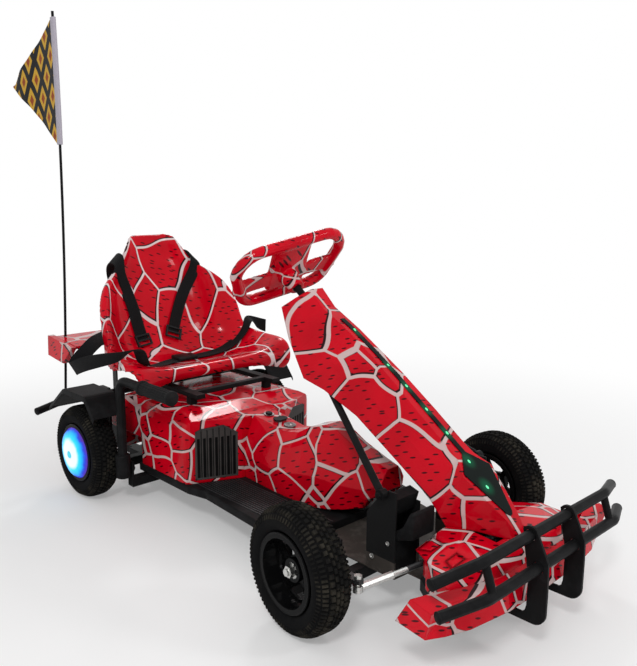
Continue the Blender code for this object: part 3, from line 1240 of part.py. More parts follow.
def seat():
    front_leg, rear_leg = SEAT_LEG_Y
    base = pivot("seat_slide", (0.0, front_leg, 0.0))
    rows = seat_grid()
    shell = place(sheet(rows, SEAT_WALL, 1.0), "seat_shell", RED, base, 40.0)
    low = SEAT_LEG_TOP + GAP
    slider_low, slider_high = low + RAIL_STEP + GAP, 0.3387
    rails = [box((-RAIL_X, y - 0.009, low), (RAIL_X, y + 0.009, low + RAIL_STEP)) for y in SEAT_LEG_Y]
    runners = [box((-RAIL_X, 0.185, slider_low + 0.004), (RAIL_X, 0.240, slider_high))]
    for side, _ in SIDES:
        rails.append(sided_box(side, RAIL_X - 0.013, RAIL_X + 0.013,
                               (front_leg - 0.045, rear_leg + 0.020), (low, low + RAIL_STEP)))
        runners.append(sided_box(side, RAIL_X - 0.011, RAIL_X + 0.011, (0.175, 0.255),
                                 (slider_low, slider_high)))
    place(union(rails), "seat_rails", STEEL)
    place(union(runners), "seat_slider", STEEL, base)
    harness(base, shell)


chassis_frame()
floor_tray()
rear_body()
front_grille()
tunnel()
controls()
power_pack()
nose()
bumper()
column_cover()
column_parts()
pedal_boxes()
steering()
rear_wheels()
lever()
rear_end()
seat()
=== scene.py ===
"""Electric go-kart dressed for the studio: steel frame, printed red covers, tyres, seat, harness,
side lever and pennant. Metres, +Z up; the nose points along -Y and the driver's right is -X.
"""

import math

import bpy
from mathutils import Matrix, Vector
from mathutils.bvhtree import BVHTree


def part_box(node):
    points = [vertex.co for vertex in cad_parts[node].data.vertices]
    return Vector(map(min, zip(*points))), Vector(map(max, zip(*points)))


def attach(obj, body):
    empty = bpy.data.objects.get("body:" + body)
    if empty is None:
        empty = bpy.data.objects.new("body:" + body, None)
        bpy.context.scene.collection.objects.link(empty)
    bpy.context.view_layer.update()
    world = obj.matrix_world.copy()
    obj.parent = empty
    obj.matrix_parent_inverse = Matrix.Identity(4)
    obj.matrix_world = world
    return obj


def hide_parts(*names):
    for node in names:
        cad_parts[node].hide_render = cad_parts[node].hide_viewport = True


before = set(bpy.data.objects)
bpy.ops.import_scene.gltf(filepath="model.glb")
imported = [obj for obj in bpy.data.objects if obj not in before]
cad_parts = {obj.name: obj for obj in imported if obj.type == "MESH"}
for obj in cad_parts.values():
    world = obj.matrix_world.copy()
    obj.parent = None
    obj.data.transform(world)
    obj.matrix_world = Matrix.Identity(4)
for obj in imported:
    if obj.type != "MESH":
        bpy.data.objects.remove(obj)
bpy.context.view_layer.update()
scene = bpy.context.scene
scene.view_settings.view_transform = "Standard"


# Camera
# It stands at the kart's front right, at the height of a standing adult's waist, and looks a
# little down along the column. Place, turn and lens follow the photograph's perspective.
CAMERA_PLACE = Vector((-1.2483, -1.5311, 0.8568))
CAMERA_TURN = math.radians(-43.6834)
CAMERA_DOWN = math.radians(10.8003)
CAMERA_ROLL = math.radians(0.3765)
LENS = 40.94

behind = Vector((math.sin(CAMERA_TURN) * math.cos(CAMERA_DOWN),
                 -math.cos(CAMERA_TURN) * math.cos(CAMERA_DOWN), math.sin(CAMERA_DOWN)))
level = (-behind).cross(Vector((0, 0, 1))).normalized()
upward = level.cross(-behind)
across = level * math.cos(CAMERA_ROLL) + upward * math.sin(CAMERA_ROLL)
bpy.ops.object.camera_add(location=CAMERA_PLACE)
camera = bpy.context.object
camera.name = "studio_camera"
camera.matrix_world = (Matrix.Translation(CAMERA_PLACE)
                       @ Matrix((across, behind.cross(across), behind)).transposed().to_4x4())
camera.data.lens = LENS
camera.data.clip_end = 80.0
scene.camera = camera


# Studio
# A pale floor that runs on to white, three soft lamps overhead and a plain pale room. The floor
# keeps the kart's shadow near the wheels.
FLOOR_SIZE = 60.0
FLOOR_TONE = 0.88
NEAR_FLOOR = 0.7
FAR_FLOOR = 2.3
NEAR_WHITE = 0.26
WHITE = (1.0, 1.0, 1.0, 1.0)
LAMPS = (("key_lamp", (-2.1, -1.9, 2.6), 0.55, 36.0), ("rear_lamp", (1.7, 1.9, 2.6), 0.70, 22.0),
         ("nose_lamp", (1.2, -2.6, 1.9), 0.60, 15.0))
LAMP_AIM = Vector((0.0, -0.1, 0.25))
ROOM = 0.60


def feed(tree, node, inputs):
    """Give inputs of a node their values, or the nodes or sockets that they are wired to."""
    for key, value in dict(inputs).items():
        if isinstance(value, bpy.types.Node):
            value = value.outputs[0]
        if isinstance(value, bpy.types.NodeSocket):
            tree.links.new(value, node.inputs[key])
        else:
            node.inputs[key].default_value = value


def add(tree, kind, inputs=(), **settings):
    """New node with some of its inputs fed and some of its settings given."""
    made = tree.nodes.new("ShaderNode" + kind)
    for key, value in settings.items():
        setattr(made, key, value)
    feed(tree, made, inputs)
    return made


def maths(tree, operation, *values, kind="Math"):
    """Sum, product or the like of plain values, nodes and sockets."""
    return add(tree, kind, dict(enumerate(values)), operation=operation)


def place_on(tree):
    """The shaded point in the kart's own coordinates."""
    return add(tree, "TexCoord").outputs["Object"]


def new_finish(name, colour=(0.5, 0.5, 0.5), **sockets):
    """Material with a Principled shader; returns it, its nodes and the shader."""
    made = bpy.data.materials.new(name)
    made.use_nodes = True
    shader = made.node_tree.nodes["Principled BSDF"]
    shader.inputs["Base Color"].default_value = (*colour, 1.0)
    for key, value in sockets.items():
        shader.inputs[key.replace("_", " ")].default_value = value
    return made, made.node_tree, shader


def sees_background(tree):
    """1 for rays from the camera, from a mirror-like surface or through glass, else 0."""
    path = add(tree, "LightPath").outputs
    seen = maths(tree, "MAXIMUM", path["Is Camera Ray"], path["Is Glossy Ray"])
    return maths(tree, "MAXIMUM", seen, path["Is Transmission Ray"])


bpy.ops.mesh.primitive_plane_add(size=FLOOR_SIZE, location=(0.0, 0.0, 0.0))
floor = bpy.context.object
floor.name = "studio_floor"
floor_finish, tree, shader = new_finish("pale_floor", (FLOOR_TONE,) * 3, Roughness=1.0,
                                        Specular_IOR_Level=0.0)
reach = maths(tree, "LENGTH", place_on(tree), kind="VectorMath").outputs["Value"]
fade = add(tree, "MapRange", {"Value": reach, "From Min": NEAR_FLOOR, "From Max": FAR_FLOOR,
                              "To Min": NEAR_WHITE}, interpolation_type="SMOOTHSTEP")
only_seen = maths(tree, "MULTIPLY", fade, sees_background(tree))
white = add(tree, "Emission", {"Color": WHITE, "Strength": 1.0})
both = add(tree, "MixShader", {0: only_seen, 1: shader, 2: white})
feed(tree, tree.nodes["Material Output"], {"Surface": both})
floor.data.materials.append(floor_finish)

world = bpy.data.worlds.new("studio_room")
scene.world = world
world.use_nodes = True
tree = world.node_tree
strength = add(tree, "MapRange", {"Value": sees_background(tree), "To Min": ROOM, "To Max": 1.0})
feed(tree, tree.nodes["Background"], {"Color": WHITE, "Strength": strength})

for name, place, size, power in LAMPS:
    bpy.ops.object.light_add(type="AREA", location=place)
    lamp = bpy.context.object
    lamp.name = name
    lamp.data.shape = "DISK"
    lamp.data.size = size
    lamp.data.energy = power
    lamp.rotation_euler = (LAMP_AIM - Vector(place)).to_track_quat("-Z", "Y").to_euler()


# Printed red covers
# Blow-moulded covers in glossy red, with a film print of pale uneven lines edged in black and
# rows of small dark flecks. They are screwed to the frame and to the floor tray.
RED = (0.64, 0.001, 0.013)
DEEP_RED = (0.50, 0.000, 0.009)
FLECK = (0.060, 0.000, 0.004)
LINE = (0.62, 0.46, 0.45)
LINE_EDGE = (0.020, 0.003, 0.005)
HALF_LINE = 0.0029
LINE_BEND = 0.10
SHADOW_SHIFT = (0.0024, -0.0024, -0.0022)
ACROSS_PRINT = (0.72, -0.69, 0.0)
UP_PRINT = (0.33, 0.35, 0.876)
FLECKS_ACROSS = 30.0
FLECKS_UP = 92.0


def worked(tree, shader, grain, depth, edge, strength=0.4):
    """Fine grain in the surface and a small round on the edges; returns the grain."""
    noise = add(tree, "TexNoise", {"Vector": place_on(tree), "Scale": grain, "Detail": 3.0})
    rim = add(tree, "Bevel", {"Radius": edge}, samples=4)
    bump = add(tree, "Bump", {"Height": noise, "Normal": rim, "Strength": strength,
                              "Distance": depth})
    feed(tree, shader, {"Normal": bump})
    return noise


def blend_colours(tree, first, second, share):
    """Mix of two colours, each one plain or fed by a socket."""
    first, second = ((*end, 1.0) if isinstance(end, tuple) else end for end in (first, second))
    return add(tree, "Mix", {0: share, 6: first, 7: second}, data_type="RGBA").outputs[2]


def stepped(tree, source, low, high):
    """0 under low, 1 over high."""
    return add(tree, "MapRange", {"Value": source, "From Min": low, "From Max": high})


def share_along(tree, way, size):
    """How far a point lies along a direction, times a size."""
    scaled = tuple(size * v for v in way)
    return maths(tree, "DOT_PRODUCT", place_on(tree), scaled, kind="VectorMath").outputs["Value"]


def printed_red(name, cell, place, stretch=(1.0, 1.0, 1.0), half_line=HALF_LINE, line=LINE):
    """Glossy red with the printed lines; cell is the usual width of a field between lines."""
    made, tree, shader = new_finish(name, RED, Roughness=0.15, Specular_IOR_Level=0.07,
                                    Coat_Weight=0.10, Coat_Roughness=0.04)
    worked(tree, shader, 160.0, 0.0004, 0.0034, 0.12)
    laid = add(tree, "Mapping", {"Vector": place_on(tree), "Location": place, "Scale": stretch})
    waves = add(tree, "TexNoise", {"Vector": laid, "Scale": 4.5, "Detail": 1.0}).outputs["Color"]
    centred = maths(tree, "SUBTRACT", waves, (0.5, 0.5, 0.5), kind="VectorMath")
    bend = add(tree, "VectorMath", {0: centred, "Scale": LINE_BEND}, operation="SCALE")
    bent = maths(tree, "ADD", laid, bend, kind="VectorMath")
    lines = []
    for shift in ((0.0, 0.0, 0.0), SHADOW_SHIFT):
        shifted = maths(tree, "ADD", bent, shift, kind="VectorMath")
        fields = add(tree, "TexVoronoi", {"Vector": shifted, "Scale": 1.0 / cell,
                                          "Randomness": 0.95}, feature="DISTANCE_TO_EDGE")
        lines.append(stepped(tree, fields.outputs["Distance"], half_line / cell,
                             half_line / cell + 0.006))
    flat = add(tree, "CombineXYZ", {0: share_along(tree, ACROSS_PRINT, FLECKS_ACROSS),
                                    1: share_along(tree, UP_PRINT, FLECKS_UP)})
    turned = add(tree, "VectorRotate", {"Vector": flat, "Angle": 0.5}, rotation_type="Z_AXIS")
    dots = add(tree, "TexVoronoi", {"Vector": turned, "Scale": 1.0, "Randomness": 0.8},
               feature="F1", voronoi_dimensions="2D").outputs
    left_out = maths(tree, "GREATER_THAN", add(tree, "SeparateColor", {0: dots["Color"]}), 0.60)
    sparse = maths(tree, "ADD", left_out, dots["Distance"])
    shade = add(tree, "TexNoise", {"Vector": place_on(tree), "Scale": 7.0, "Detail": 2.0})
    base = blend_colours(tree, DEEP_RED, RED, stepped(tree, shade, 0.35, 0.62))
    flecked = blend_colours(tree, FLECK, base, stepped(tree, sparse, 0.14, 0.20))
    edged = blend_colours(tree, LINE_EDGE, flecked, lines[1])
    feed(tree, shader, {"Base Color": blend_colours(tree, line, edged, lines[0])})
    return made


def dress(finish, *names):
    """Give CAD nodes a finish."""
    for name in names:
        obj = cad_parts[name]
        obj.data.materials.clear()
        obj.data.materials.append(finish)


cover_red = printed_red("printed_red_covers", 0.105, (0.30, 0.10, 0.20))
dress(cover_red, "rear_body_cover", "tunnel_cover")
dress(printed_red("printed_red_column", 0.125, (0.0, 0.35, 0.1)), "column_cover")
dress(printed_red("printed_red_nose", 0.085, (0.5, 0.2, 0.7)), "nose_cover", "front_spoiler")


# Black painted steel
# Welded square and round tube, plates and brackets, powder coated satin black; the coat is worn
# a little lighter in patches.
COAT = (0.0078, 0.0078, 0.0082)
WORN_COAT = (0.014, 0.014, 0.015)


def dull_black(name, tone, worn, roughness, grain, depth, edge, specular):
    """Black finish with a grain, patches of wear and its own roughness."""
    made, tree, shader = new_finish(name, tone, Specular_IOR_Level=specular)
    noise = worked(tree, shader, grain, depth, edge)
    patches = add(tree, "TexNoise", {"Vector": place_on(tree), "Scale": 24.0, "Detail": 5.0,
                                     "Roughness": 0.65})
    gloss = add(tree, "MapRange", {"Value": noise, "To Min": roughness - 0.08,
                                   "To Max": roughness + 0.10})
    colour = blend_colours(tree, tone, worn, stepped(tree, patches, 0.48, 0.72))
    feed(tree, shader, {"Base Color": colour, "Roughness": gloss})
    return made


painted_steel = dull_black("black_powder_coat", COAT, WORN_COAT, 0.40, 900.0, 0.0003, 0.0040, 0.05)
dress(painted_steel, "chassis_frame", "column_tube", "column_stay_right", "column_stay_left",
      "steering_bearing", "rear_bar", "bumper_bars", "seat_rails", "seat_slider", "side_lever",
      "flag_pole", "steering_shaft", "rear_hub_right", "rear_hub_left")
dress(dull_black("black_coated_plate", COAT, WORN_COAT, 0.40, 900.0, 0.0003, 0.0012, 0.05),
      "bumper_plate_right", "bumper_plate_left")


# Rear wing
# Printed as the covers are, on two painted legs that are bolted to the rear of the frame. The
# blade is all that lies over the legs' tops or outside them.
LEG_TOP = 0.398
LEG_OUTSIDE = 0.150


def colour_of(finish):
    """Nodes and shader of a finish, and the socket that its colour comes from."""
    shader = finish.node_tree.nodes["Principled BSDF"]
    return finish.node_tree, shader, shader.inputs["Base Color"].links[0].from_socket


def beyond(tree, axis, limit, soft=0.001, both_sides=False):
    """1 where a coordinate is past a limit, else 0."""
    along = add(tree, "SeparateXYZ", {0: place_on(tree)}).outputs[axis]
    if both_sides:
        along = maths(tree, "ABSOLUTE", along)
    return stepped(tree, along, limit, limit + soft)


wing_red = printed_red("printed_red_wing", 0.105, (0.12, 0.31, 0.44))
tree, shader, print_colour = colour_of(wing_red)
blade = maths(tree, "MAXIMUM", beyond(tree, 0, LEG_OUTSIDE, both_sides=True),
              beyond(tree, 2, LEG_TOP))
feed(tree, shader, {"Base Color": blend_colours(tree, COAT, print_colour, blade)})
dress(wing_red, "rear_wing")


# Black plastics
# Floor tray, louvred grilles, nose tray, housings and mudguards are moulded in grained black
# plastic and clipped or screwed in place.
moulded_black = dull_black("grained_black_plastic", (0.0080, 0.0080, 0.0084),
                           (0.016, 0.016, 0.017), 0.50, 620.0, 0.0005, 0.0024, 0.05)
dress(moulded_black, "floor_tray", "nose_tray", "accelerator_pedal", "brake_pedal",
      "mudguard_right", "mudguard_left", "charge_cap", "power_button", "battery_pack",
      "motor_controller")
grille_black = dull_black("grille_plastic", (0.058, 0.055, 0.053), (0.075, 0.071, 0.068), 0.55,
                          500.0, 0.0004, 0.0010, 0.10)
# The panel behind the slats is the slats' plastic painted near black, a painted shade in the gaps
# between the slats.
dress(dull_black("grille_back_painted_shade", (0.004, 0.004, 0.004), (0.008, 0.008, 0.008), 0.7, 500.0, 0.0004,
                 0.0010, 0.05), "front_grille")


# Foot plate and gussets
# Sheet steel at the pedals, bolted to the front of the frame: the plate under the feet is
# grey-brown with dust on it, the gussets that stand up beside the pedals are painted black.
GUSSET_FOOT = 0.1120

foot_plate = dull_black("dusty_foot_plate", (0.050, 0.043, 0.038), (0.100, 0.087, 0.078), 0.60,
                        300.0, 0.0004, 0.0010, 0.12)
tree, shader, dusty = colour_of(foot_plate)
feed(tree, shader, {"Base Color": blend_colours(tree, dusty, COAT, beyond(tree, 2, GUSSET_FOOT))})
dress(foot_plate, "pedal_plate")


# Zinc-plated fasteners
# Kingpins, axle nuts and the ball joints of the tie rods, bright zinc with a cloudy bloom. The
# rods themselves are dark behind their bright sleeves, and the tunnel's fittings are dark chrome.
ZINC = (0.62, 0.62, 0.60)
FITTING_TONE = (0.15, 0.13, 0.13)
ROD_DARK = (0.020, 0.020, 0.021)
SLEEVE_END = 0.176
NUT_START = 0.3470


def plated(name, split=None, tone=ZINC):
    """Plating; split = |x| beyond which it is bright zinc, with black paint inside that."""
    made, tree, shader = new_finish(name, tone, Metallic=1.0)
    noise = worked(tree, shader, 220.0, 0.0002, 0.0008)
    bloom = add(tree, "MapRange", {"Value": noise, "To Min": 0.20, "To Max": 0.42})
    feed(tree, shader, {"Roughness": bloom})
    if split:
        bright = beyond(tree, 0, split, soft=0.0006, both_sides=True)
        colour = blend_colours(tree, ROD_DARK, ZINC, bright)
        feed(tree, shader, {"Base Color": colour, "Metallic": bright})
    return made


dress(plated("zinc_plate"), "kingpin_right", "kingpin_left", "rear_axle_right", "rear_axle_left")
dress(plated("dark_chrome", tone=FITTING_TONE), "tunnel_fittings")
dress(plated("zinc_and_dark_rod", SLEEVE_END), "tie_rod_right", "tie_rod_left")
dress(plated("black_knuckle_bright_nut", NUT_START), "knuckle_right", "knuckle_left")


# Smoked light strip
# A glossy smoked lens let into the column cover, with seven green lamps that shine through it. Round
# each lamp the lens gives off a painted green glow of its own.
# Each lamp has its way down the column, its way to the side and its depth under the lens.
FRONT_AXLE = -0.5265
LENS_START = Vector((0.0, 0.264 + FRONT_AXLE, 0.621))
COLUMN_SLOPE = math.radians(37.5)
LAMP_PLACES = ((-0.117, 0.0, 0.0185), (-0.240, 0.0, 0.0075), (-0.305, 0.0, 0.0037),
               (-0.375, 0.0, 0.0010), (-0.4435, 0.0, -0.0018), (-0.520, -0.006, -0.0045),
               (-0.583, -0.010, -0.0028))
LAMP_RADIUS = 0.0030
LAMP_SINK = 0.0026
GLOW_NEAR = 0.003
GLOW_FAR = 0.024


def distance_from(tree, place, weight):
    """Distance of the shaded point from a place, with each axis weighted."""
    apart = maths(tree, "SUBTRACT", place_on(tree), tuple(place), kind="VectorMath")
    weighted = maths(tree, "MULTIPLY", apart, weight, kind="VectorMath")
    return maths(tree, "LENGTH", weighted, kind="VectorMath").outputs["Value"]


lens, tree, shader = new_finish("smoked_lens", (0.004, 0.007, 0.006), Roughness=0.22,
                                Specular_IOR_Level=0.06, Emission_Strength=1.0)
worked(tree, shader, 260.0, 0.0001, 0.0008, 0.2)
dress(lens, "light_strip")
along_column = Vector((0.0, math.cos(COLUMN_SLOPE), math.sin(COLUMN_SLOPE)))
into_column = Vector((0.0, math.sin(COLUMN_SLOPE), -math.cos(COLUMN_SLOPE)))
# Painted glow: the lens itself emits soft green light round each lamp, a painted pool of the lamps'
# light.
glow = 0.0
for along, aside, _ in LAMP_PLACES:
    place = LENS_START + along_column * along + Vector((aside, 0.0, 0.0))
    reach = distance_from(tree, place, (1.0, 1.0, 0.55))
    near = add(tree, "MapRange", {"Value": reach, "From Min": GLOW_NEAR, "From Max": GLOW_FAR,
                                  "To Min": 1.0, "To Max": 0.0}, interpolation_type="SMOOTHERSTEP")
    glow = maths(tree, "ADD", glow, near)
light = blend_colours(tree, (0.0, 0.0, 0.0), (0.0, 0.075, 0.032), glow)
feed(tree, shader, {"Emission Color": light})
green_light, tree, shader = new_finish("green_lamp", (0.02, 0.45, 0.16), Roughness=0.3,
                                       Emission_Strength=0.9)
glints = stepped(tree, add(tree, "TexNoise", {"Vector": place_on(tree), "Scale": 500.0}), 0.3, 0.6)
glow = blend_colours(tree, (0.0, 0.32, 0.10), (0.20, 1.0, 0.52), glints)
feed(tree, shader, {"Emission Color": glow})


def picked(objects):
    """Select these objects alone, with the first one active."""
    bpy.ops.object.select_all(action="DESELECT")
    for obj in objects:
        obj.select_set(True)
    bpy.context.view_layer.objects.active = objects[0]


def joined(objects):
    picked(objects)
    if len(objects) > 1:
        bpy.ops.object.join()
    return bpy.context.view_layer.objects.active


def settled():
    """Put the place, turn and size of the picked object into its mesh."""
    bpy.ops.object.transform_apply(location=True, rotation=True, scale=True)
    return bpy.context.object


def finished(name, objects, body, finish, smooth=True):
    """Join what was modelled, put its origin at the kart's, and let it ride on a body."""
    joined(objects)
    made = settled()
    made.name = name
    made.data.name = name
    made.data.materials.clear()
    made.data.materials.append(finish)
    if smooth:
        bpy.ops.object.shade_smooth_by_angle(angle=math.radians(35.0))
    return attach(made, body)


def facing(way):
    """Turn that brings a piece's own upright onto a direction."""
    return Vector((0, 0, 1)).rotation_difference(Vector(way)).to_euler()


lamps = []
for along, aside, depth in LAMP_PLACES:
    place = LENS_START + along_column * along + into_column * (depth - LAMP_SINK)
    place.x += aside
    bpy.ops.object.select_all(action="DESELECT")
    bpy.ops.mesh.primitive_uv_sphere_add(segments=16, ring_count=8, radius=LAMP_RADIUS,
                                         location=place, rotation=facing(-into_column),
                                         scale=(1.0, 1.5, 0.28))
    lamps.append(bpy.context.object)
green_lamps = finished("green_lamps", lamps, "frame", green_light)


# Lit wheel discs
# Domed clear discs over the hub motors, lit from inside: white and pale blue in the middle, cyan,
# then a deep blue rim.
DISC_STOPS = ((0.00, (0.10, 0.75, 0.85)), (0.13, (0.03, 0.60, 0.80)), (0.18, (0.90, 1.0, 1.0)),
              (0.50, (0.90, 1.0, 1.0)), (0.66, (0.03, 0.78, 1.0)), (0.84, (0.01, 0.42, 1.0)),
              (0.94, (0.03, 0.04, 0.75)), (1.00, (0.10, 0.01, 0.35)))
DISC_RADIUS = 0.0715
DISC_CLOUD = 0.012

for side in ("right", "left"):
    low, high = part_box("light_disc_" + side)
    made, tree, shader = new_finish("lit_disc_" + side, (0.01, 0.04, 0.07), Roughness=0.2,
                                    Specular_IOR_Level=0.1, Emission_Strength=1.0)
    cloud = add(tree, "TexNoise", {"Vector": place_on(tree), "Scale": 38.0, "Detail": 2.0})
    uneven = maths(tree, "MULTIPLY_ADD", cloud, DISC_CLOUD,
                   distance_from(tree, (low + high) / 2, (0.0, 1.0, 1.0)))
    share = stepped(tree, uneven, DISC_CLOUD / 2, DISC_RADIUS + DISC_CLOUD / 2)
    colours = add(tree, "ValToRGB", {"Fac": share})
    ramp = colours.color_ramp
    while len(ramp.elements) < len(DISC_STOPS):
        ramp.elements.new(0.5)
    for element, (where, _) in zip(ramp.elements, DISC_STOPS):
        element.position = where
    for element, (_, colour) in zip(ramp.elements, DISC_STOPS):
        element.color = (*colour, 1.0)
    feed(tree, shader, {"Emission Color": colours})
    worked(tree, shader, 300.0, 0.0001, 0.0010, 0.2)
    dress(made, "light_disc_" + side)


# Floor tray ribs
# Fine raised ribs along the foot wells, moulded with the black tray; they stop short of the
# tunnel and of the rear cover, whose front face leans back to the outside.
RIBS = 13
FIRST_RIB = 0.0900
RIB_STEP = 0.0082
RIB_WIDTH = 0.0030
RIB_HIGH = 0.0014
RIB_FRONT = 0.156 + FRONT_AXLE
TRAY_TOP = 0.100
FACE_INNER = Vector((0.075, 0.512 + FRONT_AXLE, 0.0))
FACE_LEAN = 0.417
FACE_GAP = 0.006


def bar(low, high):
    """Box between two corners."""
    low, high = Vector(low), Vector(high)
    bpy.ops.object.select_all(action="DESELECT")
    bpy.ops.mesh.primitive_cube_add(size=1.0, location=(low + high) / 2, scale=high - low)
    return settled()


ribs = []
for side in (-1, 1):
    for i in range(RIBS):
        x = FIRST_RIB + RIB_STEP * i
        rear = FACE_INNER.y + (x - FACE_INNER.x) * FACE_LEAN - FACE_GAP
        near, far = sorted((side * (x - RIB_WIDTH / 2), side * (x + RIB_WIDTH / 2)))
        ribs.append(bar((near, RIB_FRONT, TRAY_TOP), (far, rear, TRAY_TOP + RIB_HIGH)))
rib_black = dull_black("rib_plastic", (0.024, 0.024, 0.026), (0.036, 0.036, 0.038), 0.45, 600.0,
                       0.0003, 0.0006, 0.2)
tray_ribs = finished("tray_ribs", ribs, "frame", rib_black, smooth=False)


# Louvres
# Seven flat slats on each grille panel, each with one edge set back, and a slim frame round them.
# They are moulded with the panel and clipped in from behind the rear cover.
SLATS = 7
FIRST_SLAT = 0.022
LAST_SLAT_IN = 0.034
SLAT_HALF = 0.0068
SLAT_SET_BACK = -0.0016
PANEL_FOOT = 0.1125
PANEL_RUN = Vector((0.139, 0.058, 0.0))
PANEL_WIDE = PANEL_RUN.length
OUTLINE = ((0.0142, 0.1110), (PANEL_WIDE - 0.0262, 0.1110), (PANEL_WIDE - 0.0282, 0.2375),
           (PANEL_WIDE - 0.0420, 0.2432), (0.0500, 0.2492), (0.0142, 0.2266))
SLAT_BACK = -0.0022
SLAT_FRONT = 0.0008
HALF_EDGE = 0.0022
END_LAP = 0.0020

panel_along = PANEL_RUN.normalized()
panel_out = Vector((panel_along.y, -panel_along.x, 0.0))


def slat_top(along):
    """The slats' tops rise over the first few and fall again to the outside."""
    rise = 0.018 * min(1.0, (along - 0.008) / 0.040)
    return 0.228 + rise - 0.006 * max(0.0, (along - 0.055) / 0.060)


def on_panel(side, along, out, high):
    """Place on a grille panel, in the kart's coordinates."""
    spot = FACE_INNER + panel_along * along + panel_out * (out - SLAT_FRONT)
    return Vector((side * spot.x, spot.y, high))


slats = []
for side in (-1, 1):
    for i in range(SLATS):
        u = FIRST_SLAT + (PANEL_WIDE - LAST_SLAT_IN - FIRST_SLAT) * i / (SLATS - 1)
        slat = bar((-SLAT_HALF, SLAT_BACK, PANEL_FOOT), (SLAT_HALF, SLAT_FRONT, slat_top(u)))
        for vertex in slat.data.vertices:
            x, y, z = vertex.co
            if y > 0 and x < 0:
                y = SLAT_SET_BACK
            vertex.co = on_panel(side, u + x, y, z)
        slats.append(slat)
    for start, end in zip(OUTLINE, OUTLINE[1:] + OUTLINE[:1]):
        start, run = Vector(start), Vector(end) - Vector(start)
        way = run.normalized()
        strip = bar((-END_LAP, SLAT_BACK, -HALF_EDGE), (run.length + END_LAP, SLAT_FRONT, HALF_EDGE))
        for vertex in strip.data.vertices:
            spot = start + way * vertex.co.x + Vector((-way.y, way.x)) * vertex.co.z
            vertex.co = on_panel(side, spot.x, vertex.co.y, spot.y)
        slats.append(strip)
louvres = finished("louvres", slats, "frame", grille_black, smooth=False)
bpy.ops.object.mode_set(mode="EDIT")
bpy.ops.mesh.select_all(action="SELECT")
bpy.ops.mesh.normals_make_consistent(inside=False)
bpy.ops.object.mode_set(mode="OBJECT")


# Tyres
# Pneumatic tyres of 260 mm: a round rubber carcass that is moulded with its tread of blocks,
# square in the middle rows and long bars on the shoulders.
TYRE_RADIUS = 0.130
BLOCK_HIGH = 0.0042
FRONT_TYRE_WIDTH = 0.079
REAR_TYRE_WIDTH = 0.075
BEAD_RADIUS = 0.0742
CARCASS_POINTS = 44
TREAD_STEP = math.tau / 56
BLOCK_TOP_SHARE = 0.86
BLOCK_FOOT_SHARE = 1.08
TREAD_ROWS = ((0.12, 0.0029, 0.17, 0.0105, 0.0050, 0.05, 56, 0.25, True),
              (0.38, 0.0040, 0.25, 0.0095, 0.0060, 0.17, 56, 0.75, True),
              (0.70, 0.0100, 0.32, 0.0052, 0.0070, 0.58, 84, 0.25, False),
              (0.905, 0.0200, 0.26, 0.0040, 0.0046, 1.10, 84, 0.25, False))

carcass_rubber = dull_black("tyre_wall_rubber", (0.0058, 0.0058, 0.0062), (0.0095, 0.0092, 0.0090),
                            0.72, 260.0, 0.0006, 0.0010, 0.03)
tread_rubber = dull_black("tread_rubber", (0.0095, 0.0093, 0.0090), (0.045, 0.040, 0.031), 0.80,
                          340.0, 0.0006, 0.0008, 0.03)


def section_point(turn, half, crown):
    """Point on the tyre's section, from one bead round the crown to the other."""
    middle = (BEAD_RADIUS + crown) / 2
    tall = (crown - BEAD_RADIUS) / 2
    c, s = math.cos(turn), math.sin(turn)
    return half * math.copysign(abs(c) ** 0.72, c), middle + tall * math.copysign(abs(s) ** 0.85, s)


def carcass(width):
    """Tyre body about the origin, its axle along X."""
    bpy.ops.object.select_all(action="DESELECT")
    bpy.ops.mesh.primitive_circle_add(vertices=CARCASS_POINTS, radius=0.02, location=(0, 0, 0))
    made = bpy.context.object
    for i, vertex in enumerate(made.data.vertices):
        x, z = section_point(math.tau * i / CARCASS_POINTS, width / 2 - 0.0010,
                             TYRE_RADIUS - BLOCK_HIGH)
        vertex.co = (x, 0.0, z)
    bpy.ops.object.mode_set(mode="EDIT")
    bpy.ops.mesh.select_all(action="SELECT")
    bpy.ops.mesh.spin(steps=80, angle=math.tau, center=(0, 0, 0), axis=(1, 0, 0))
    bpy.ops.mesh.select_all(action="SELECT")
    bpy.ops.mesh.remove_doubles(threshold=0.00002)
    bpy.ops.mesh.normals_make_consistent(inside=False)
    bpy.ops.object.mode_set(mode="OBJECT")
    return made


def tread_row(x, radius, size, lean, count, start):
    """One row of tapered blocks round the tyre."""
    bpy.ops.object.select_all(action="DESELECT")
    bpy.ops.mesh.primitive_cube_add(size=1.0, location=(0, 0, 0))
    made = bpy.context.object
    for vertex in made.data.vertices:
        taper = BLOCK_TOP_SHARE if vertex.co.z > 0 else BLOCK_FOOT_SHARE
        vertex.co = Vector((vertex.co.x * size[0] * taper, vertex.co.y * size[1] * taper,
                            vertex.co.z * size[2]))
    made.data.transform(Matrix.Rotation(start, 4, "X") @ Matrix.Translation((x, 0, radius))
                        @ Matrix.Rotation(lean, 4, "Y"))
    bpy.ops.object.mode_set(mode="EDIT")
    bpy.ops.mesh.select_all(action="SELECT")
    bpy.ops.mesh.spin(steps=count - 1, dupli=True, angle=math.tau * (count - 1) / count,
                      center=(0, 0, 0), axis=(1, 0, 0))
    bpy.ops.object.mode_set(mode="OBJECT")
    return made


def treads(width):
    """Blocks of one tyre, as one mesh.

    A row has its place across, its sink, the blocks' width, length and height, lean, count and
    start. Place and width are shares of half the tyre, and the middle rows' starts lie apart.
    """
    half = width / 2
    rows = []
    for side in (-1, 1):
        for place, sink, wide, long, high, lean, count, start, apart in TREAD_ROWS:
            start *= TREAD_STEP * side if apart else TREAD_STEP
            rows.append(tread_row(side * half * place, TYRE_RADIUS - sink,
                                  (half * wide, long, high), side * lean, count, start))
    return joined(rows)


def copied(obj, matrix):
    """Copy with its own mesh, its place in the mesh."""
    made = bpy.data.objects.new(obj.name, obj.data.copy())
    scene.collection.objects.link(made)
    made.data.transform(matrix)
    return made


